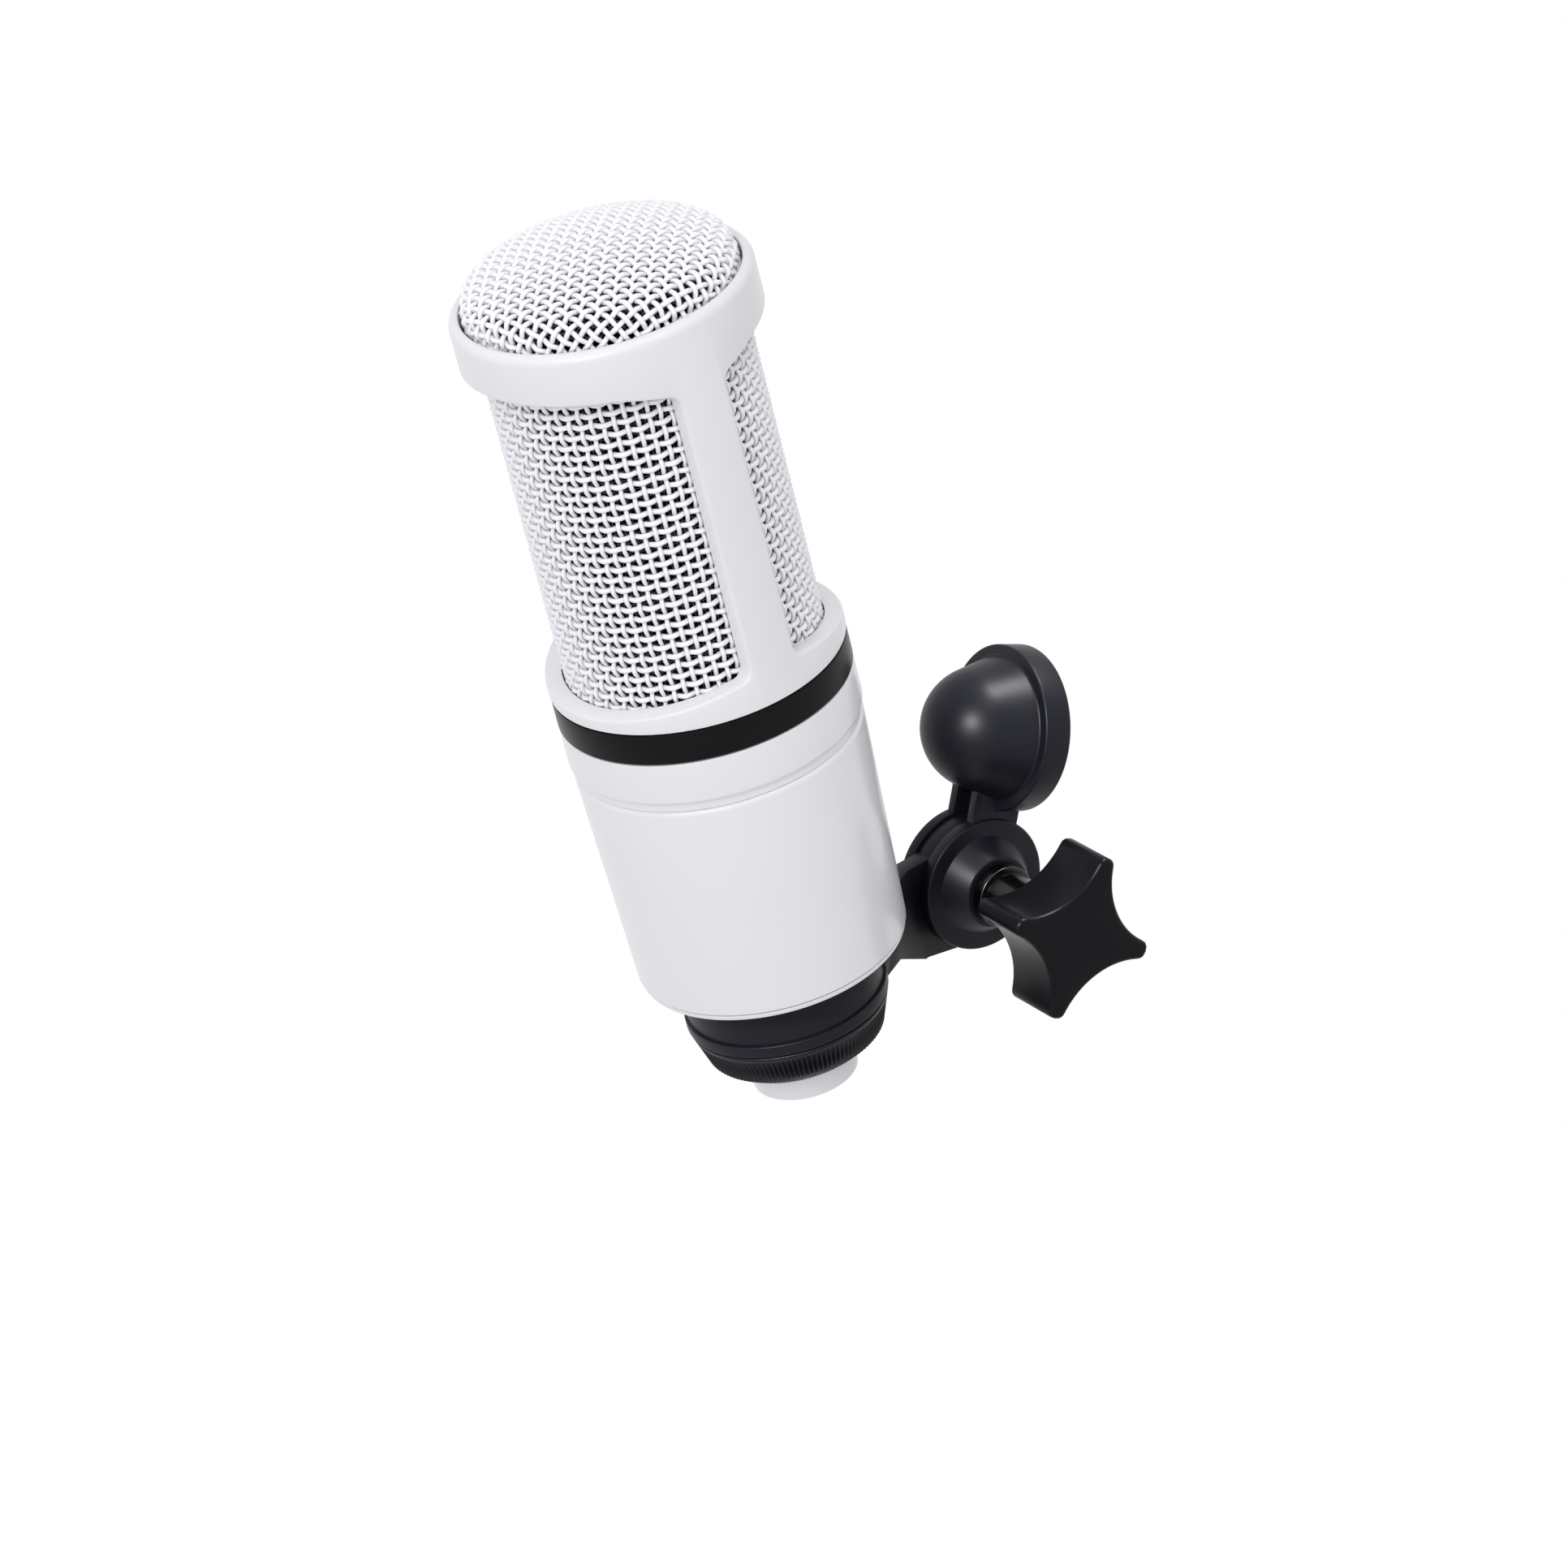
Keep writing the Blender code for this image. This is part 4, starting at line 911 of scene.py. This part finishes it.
bracket = turned("mount_ring_and_arm", rounded([
    (17.3, -0.3, 0.3), (17.6, -9.0, 0.1), (17.5, -9.1), (17.5, -9.25),
    (18.1, -9.3, 0.2), (18.1, RING_FOOT, 0.4),
    (RING_BORE, RING_FOOT), (RING_BORE, -0.3),
]), 192)
settle(bracket, Vector((-HINGE_REACH, 0, HINGE_DROP)) * MM)
ROOT, STEP, SHELF, ARM_TOP, ARM_FOOT = -25.65, -16.2, 6.5, 8.6, -4.1
KNEE, HEEL = (-13.6, -9.3), -20.6
CREASE, FLARE, FLARE_HALF = -12.9, -25.2, 8.8
upper = math.pi - math.asin(ARM_TOP / TONGUE_RADIUS)
lower = math.atan2(KNEE[1], KNEE[0]) + math.acos(TONGUE_RADIUS / math.hypot(*KNEE))
arm_side = [(ROOT, SHELF), (STEP, SHELF), (STEP, ARM_TOP)]
arm_side += arc(TONGUE_RADIUS, upper, lower, 64)
arm_side += [KNEE, (HEEL, ARM_FOOT), (ROOT, ARM_FOOT)]
arm = extruded("arm", arm_side, -FLARE_HALF - 0.3, FLARE_HALF + 0.3)
arm_plan = [(ROOT, -FLARE_HALF), (FLARE, -FLARE_HALF), (CREASE, -TONGUE_HALF), (12.0, -TONGUE_HALF)]
arm_plan += [(x, -y) for x, y in reversed(arm_plan)]
plan = extruded("arm_plan", arm_plan, -14, 14)
settle(plan, (0, 0, 0), (-math.pi / 2, 0, 0))
combine(arm, "INTERSECT", plan)
combine(bracket, "UNION", arm)
pivot = turned("pivot_cutter", [(0, 20), (3.3, 20), (3.3, -20), (0, -20)], 64)
settle(pivot, (0, 0, 0), (math.pi / 2, 0, 0))
combine(bracket, "DIFFERENCE", pivot)
soften(bracket, 0.25)
settle(bracket, hinge)
hand_in(bracket, "bracket", "black_plastic", black_nylon, "ring_bracket")

# %% [markdown]
# ## Locking ring
#
# A conical ring screws up the stub and clamps the mount ring. Its grip is a fine fluting of about a
# hundred and twenty ribs, with a plain rim above. After turning, each point of the cone is moved in or
# out by a wave that runs round the ring, which gives every rib the same rounded crest.

# %% Locking ring
RIBS = 120
RIB_DEPTH = 0.6
POINTS_PER_RIB = 6

LOCK_HEAD, LOCK_FOOT, LOCK_END = -11.8, -18.0, -19.5
LOCK_RADIUS, LOCK_TAPER = 17.9, 2.0
cone = []
for share in (0.12, 0.16, 0.22, 0.6, 1):
    cone.append((LOCK_RADIUS - LOCK_TAPER * share, LOCK_HEAD + (LOCK_FOOT - LOCK_HEAD) * share))
lock = turned("locking_ring_fluted", rounded([
    (RING_BORE, LOCK_HEAD), (LOCK_RADIUS, LOCK_HEAD, 0.3), *cone, (13.8, LOCK_END, 0.4),
    (RING_BORE, LOCK_END),
], 4), RIBS * POINTS_PER_RIB)
for vertex in lock.data.vertices:
    point = vertex.co / MM
    share = (LOCK_HEAD - point.z) / (LOCK_HEAD - LOCK_FOOT)
    across = math.hypot(point.x, point.y)
    if across > RING_BORE + 0.3 and 0.15 < share < 1.05:
        turn = math.atan2(point.y, point.x)
        wave = 0.5 - 0.5 * math.cos(turn * RIBS)
        ease = min(1, (share - 0.15) / 0.06)
        vertex.co.xy *= 1 - RIB_DEPTH * wave * ease / across
settle(lock, seat)
hand_in(lock, "lock", "black_plastic", black_nylon, "locking_ring", sharp=50)

# %% [markdown]
# ## Stub and output
#
# Below the locking ring the end of the chassis stub and the output's white shell come out. The shell is a
# tube with a chamfered mouth, and inside it three plated pins with rounded tips stand in a black
# insulator.

# %% Stub and output
stub = turned("chassis_stub", rounded([
    (22.3, 4.3, 0.2), (22.3, 1.3), (12.6, 1.3), (12.6, -17.2, 0.5), (9.7, -17.2, 0.2), (9.7, 4.3),
]), 128)
settle(stub, seat)
hand_in(stub, "microphone", "alloy", alloy, "chassis_base")

shell = turned("output_shell_turned", rounded([
    (11.7, 5.9), (11.7, 4.6), (9.4, 4.6), (9.4, -26.2, 0.35), (8.1, -26.2, 0.45), (8.1, 5.9),
]), 128)
settle(shell, seat)
hand_in(shell, "microphone", "white_paint", white_paint, "output_shell")

INSERT_FACE = -11.2
PIN_CIRCLE = 4.0
insert = turned("output_insulator", rounded([
    (0.02, -5.2), (7.8, -5.2), (7.8, INSERT_FACE, 0.2), (6.9, INSERT_FACE), (6.9, INSERT_FACE + 0.5),
    (0.02, INSERT_FACE + 0.5),
]), 96)
pin_blank = turned("output_pin", rounded([
    (0.02, -2.2), (1.2, -2.2), (1.2, -23.2, 0.75), (0.02, -23.2),
], 8), 32)
for name, degrees in (("output_pin_1", 135), ("output_pin_2", 45), ("output_pin_3", 270)):
    turn = math.radians(degrees)
    spot = Vector((PIN_CIRCLE * math.cos(turn), PIN_CIRCLE * math.sin(turn), 0)) * MM
    hole = turned("pin_hole_cutter", [(0.0, 0), (1.5, 0), (1.5, -30), (0.0, -30)], 32)
    settle(hole, spot)
    combine(insert, "DIFFERENCE", hole)
    only(pin_blank)
    bpy.ops.object.duplicate()
    pin = bpy.context.object
    pin.name = pin.data.name = name + "_turned"
    settle(pin, seat + spot)
    hand_in(pin, "microphone", "plated_steel", plated, name)
bpy.data.objects.remove(pin_blank)
settle(insert, seat)
hand_in(insert, "microphone", "insulator", phenolic, "output_insert")

# %% [markdown]
# ## Stand socket
#
# The socket is a black bell with a thick rim that screws onto a stand, a short stem of two plates with a
# web between them, and a fork of two discs with conical bosses that grips the tongue. It is built lying
# along the thread's own axis, which is the Z axis here, and is turned into place at the end.

# %% Stand socket
STEM_RISE = 27.6
MOUTH_REACH, RIM_BACK, RIM_RADIUS = 5.35, -0.1, 14.7
SOCKET_RADIUS, SOCKET_CENTRE, BELL_RADIUS = 11.1, -3.1, 12.8
FORK_INSIDE, FORK_OUTSIDE, BOSS_END = 2.1, 4.5, 8.7
STEM_FRONT, STEM_BACK = -4.6, 5.1

reach = math.hypot(BELL_RADIUS, RIM_BACK - SOCKET_CENTRE)
meet = math.atan2(RIM_BACK - SOCKET_CENTRE, BELL_RADIUS) - math.acos(SOCKET_RADIUS / reach)
tangent = arc(SOCKET_RADIUS, meet, meet, 1, (0, SOCKET_CENTRE))[0]
section = rounded([
    (0, MOUTH_REACH), (RIM_RADIUS, MOUTH_REACH, 0.6),
    (RIM_RADIUS, RIM_BACK, 0.4), (BELL_RADIUS, RIM_BACK, 0.5),
    tangent, (0, SOCKET_CENTRE),
], 6)[:-2]
section += [Vector(point) for point in arc(SOCKET_RADIUS, meet, -math.pi / 2, 40, (0, SOCKET_CENTRE))]
socket = turned("stand_socket_moulded", section, 192)
settle(socket, Vector((0, 0, STEM_RISE)) * MM, (0, math.pi / 2, 0))
stem = extruded("stem", [(STEM_FRONT, 0), (STEM_BACK, 0), (STEM_BACK, 22.0), (STEM_FRONT, 22.0)], -3.8, 3.8)
fork = turned("fork", rounded([
    (0, BOSS_END), (6.4, BOSS_END, 0.5), (9.2, FORK_OUTSIDE, 0.3), (12.1, FORK_OUTSIDE, 0.5),
    (12.1, -FORK_OUTSIDE, 0.5), (9.2, -FORK_OUTSIDE, 0.3), (8.27, -BOSS_END, 0.5), (0, -BOSS_END),
], 5), 144)
settle(fork, (0, 0, 0), (math.pi / 2, 0, 0))
combine(socket, "UNION", stem, fork)

slot_radius, web_front, slot_front = 12.4, -1.6, -4.9
slot_outline = [(slot_front, 22.05), (web_front, 22.05)]
slot_start = math.acos(web_front / slot_radius)
slot_end = math.acos(slot_front / slot_radius) - math.tau
slot_outline += arc(slot_radius, slot_start, slot_end, 72)
bore = turned("pivot_cutter", [(0, 30), (5.1, 30), (5.1, 3.9), (3.3, 3.9), (3.3, -30), (0, -30)], 64)
settle(bore, (0, 0, 0), (math.pi / 2, 0, 0))
pocket = turned("nut_cutter", [(0, -30), (6.0735, -30), (6.0735, -4.2), (0, -4.2)], 6)
settle(pocket, (0, 0, 0), (math.pi / 2, 0, 0))
mouth = turned("thread_cutter", [(0, 8), (9.4, 8), (9.4, -7), (0, -7)], 96)
settle(mouth, Vector((0, 0, STEM_RISE)) * MM, (0, math.pi / 2, 0))
slot = extruded("slot_cutter", slot_outline, -FORK_INSIDE, FORK_INSIDE)
combine(socket, "DIFFERENCE", slot, bore, pocket, mouth)
soften(socket, 0.25)
settle(socket, hinge, (0, thread_tilt, 0))
hand_in(socket, "stand", "black_plastic", black_nylon, "stand_socket")

# %% [markdown]
# ## Thread bush
#
# Stands carry a thread of twenty-seven turns to the inch. The bush starts as a turned sleeve with many
# rows of points down its bore, and each of these is moved outwards by a saw wave that climbs one pitch
# for each turn, so the groove is a true helix.

# %% Thread bush
PITCH = 25.4 / 27
CREST, GROOVE = 7.9, 0.5
bush_head = MOUTH_REACH - 0.5
bush_foot = bush_head - 12.0
rows = 96
bore_line = [(CREST, bush_foot + 0.3 + (11.4 * row / rows)) for row in range(rows + 1)]
bush_line = [(9.1, bush_head), (9.1, bush_foot), (8.2, bush_foot)] + bore_line + [(8.3, bush_head)]
bush = turned("thread_bush", bush_line, 96)
for vertex in bush.data.vertices:
    point = vertex.co / MM
    across = math.hypot(point.x, point.y)
    if abs(across - CREST) < 0.01:
        phase = (point.z / PITCH - math.atan2(point.y, point.x) / math.tau) % 1
        vertex.co.xy *= 1 + GROOVE * (1 - abs(2 * phase - 1)) / across
settle(bush, Vector((0, 0, STEM_RISE)) * MM, (0, math.pi / 2, 0))
settle(bush, hinge, (0, thread_tilt, 0))
hand_in(bush, "stand", "brass", brass, "thread_insert", sharp=50)

# %% [markdown]
# ## Clamp bolt, nut and knob
#
# The bolt has a bright flange that bears on the boss and a thick shank up to the knob. The knob is a
# plate with four blunt points and hollow sides, moulded with generously rounded edges. The nut sits in a
# pocket of its own shape on the far side.

# %% Clamp bolt and nut
bolt = turned("clamp_bolt_turned", rounded([
    (0.02, 30.0), (3.0, 30.0), (3.0, 21.7), (4.8, 21.7), (4.8, 11.3),
    (5.6, 11.3, 0.3), (5.6, 9.0, 0.2), (4.8, 9.0),
    (4.8, 4.2), (3.0, 4.2), (3.0, -8.7, 0.5), (0.02, -8.7),
], 4), 96)
settle(bolt, (0, 0, 0), (math.pi / 2, 0, 0))
settle(bolt, hinge)
hand_in(bolt, "clamp_screw", "plated_steel", bolt_metal_painted_reflection, "clamp_bolt")

NUT_RADIUS = 10.0 / math.sqrt(3)
nut = turned("clamp_nut_faced", [(3.3, -4.5), (NUT_RADIUS, -4.5), (NUT_RADIUS, -8.7), (3.3, -8.7)], 6)
dome_cut = turned("nut_chamfer", [(0, -4), (6.3, -4), (6.3, -8.1), (4.9, -8.9), (0, -8.9)], 64)
combine(nut, "INTERSECT", dome_cut)
nut_bore = turned("nut_bore_cutter", [(0, 0), (3.3, 0), (3.3, -20), (0, -20)], 64)
combine(nut, "DIFFERENCE", nut_bore)
settle(nut, (0, 0, 0), (math.pi / 2, 0, 0))
settle(nut, hinge)
hand_in(nut, "stand", "plated_steel", plated, "clamp_nut")

# %% Clamp knob
KNOB_TIP, KNOB_WAIST, KNOB_TIP_HALF = 14.9, 8.2, 1.5
KNOB_TURN = math.radians(53.5)
KNOB_FACE, KNOB_BACK = -34.6, -22.0
KNOB_EASING = 2

chord = math.hypot(KNOB_TIP_HALF, KNOB_TIP)
across = math.pi / 4 - math.atan2(KNOB_TIP_HALF, KNOB_TIP)
depth = chord * math.cos(across) - KNOB_WAIST
hollow = ((chord * math.sin(across)) ** 2 + depth**2) / (2 * depth)
swing = math.asin(chord * math.sin(across) / hollow)
knob_outline = []
for point in range(4):
    waist = KNOB_TURN + point * math.pi / 2 + math.pi / 4
    centre = ((KNOB_WAIST + hollow) * math.cos(waist), (KNOB_WAIST + hollow) * math.sin(waist))
    side = arc(hollow, waist + math.pi + swing, waist + math.pi - swing, 28, centre)
    tip = KNOB_TURN + (point + 1) * math.pi / 2
    knob_outline += side + [(KNOB_TIP * math.cos(tip), KNOB_TIP * math.sin(tip))]
for _ in range(KNOB_EASING):
    before = knob_outline[-1:] + knob_outline[:-1]
    after = knob_outline[1:] + knob_outline[:1]
    knob_outline = [
        [(a + 2 * b + c) / 4 for a, b, c in zip(*three)] for three in zip(before, knob_outline, after)
    ]
knob = extruded("clamp_knob_moulded", knob_outline, KNOB_FACE, KNOB_BACK)
soften(knob, 0.9, 4, 50)
grip = turned("grip_cutter", [(0, 30.3), (3.3, 30.3), (3.3, 10), (0, 10)], 64)
settle(grip, (0, 0, 0), (math.pi / 2, 0, 0))
combine(knob, "DIFFERENCE", grip)
settle(knob, hinge)
hand_in(knob, "knob", "black_plastic", black_phenolic, "clamp_knob")

# %% [markdown]
# ## Pieces that stay as packed
#
# The capsule, its deck and saddle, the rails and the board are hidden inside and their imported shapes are
# right, so they only get their finishes.

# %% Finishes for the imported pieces
for finish, names in (
    (alloy, ("capsule_deck", "capsule_body", "chassis_rail_left", "chassis_rail_right")),
    (gold_film, ("capsule_diaphragm",)),
    (phenolic, ("capsule_saddle",)),
    (board_mask, ("circuit_board",)),
    (sleeve, ("coupling_capacitor_1", "coupling_capacitor_2")),
):
    for name in names:
        for material_slot in frame["nodes"][name].material_slots:
            material_slot.material = finish
    print(finish.name, "on", ", ".join(names))
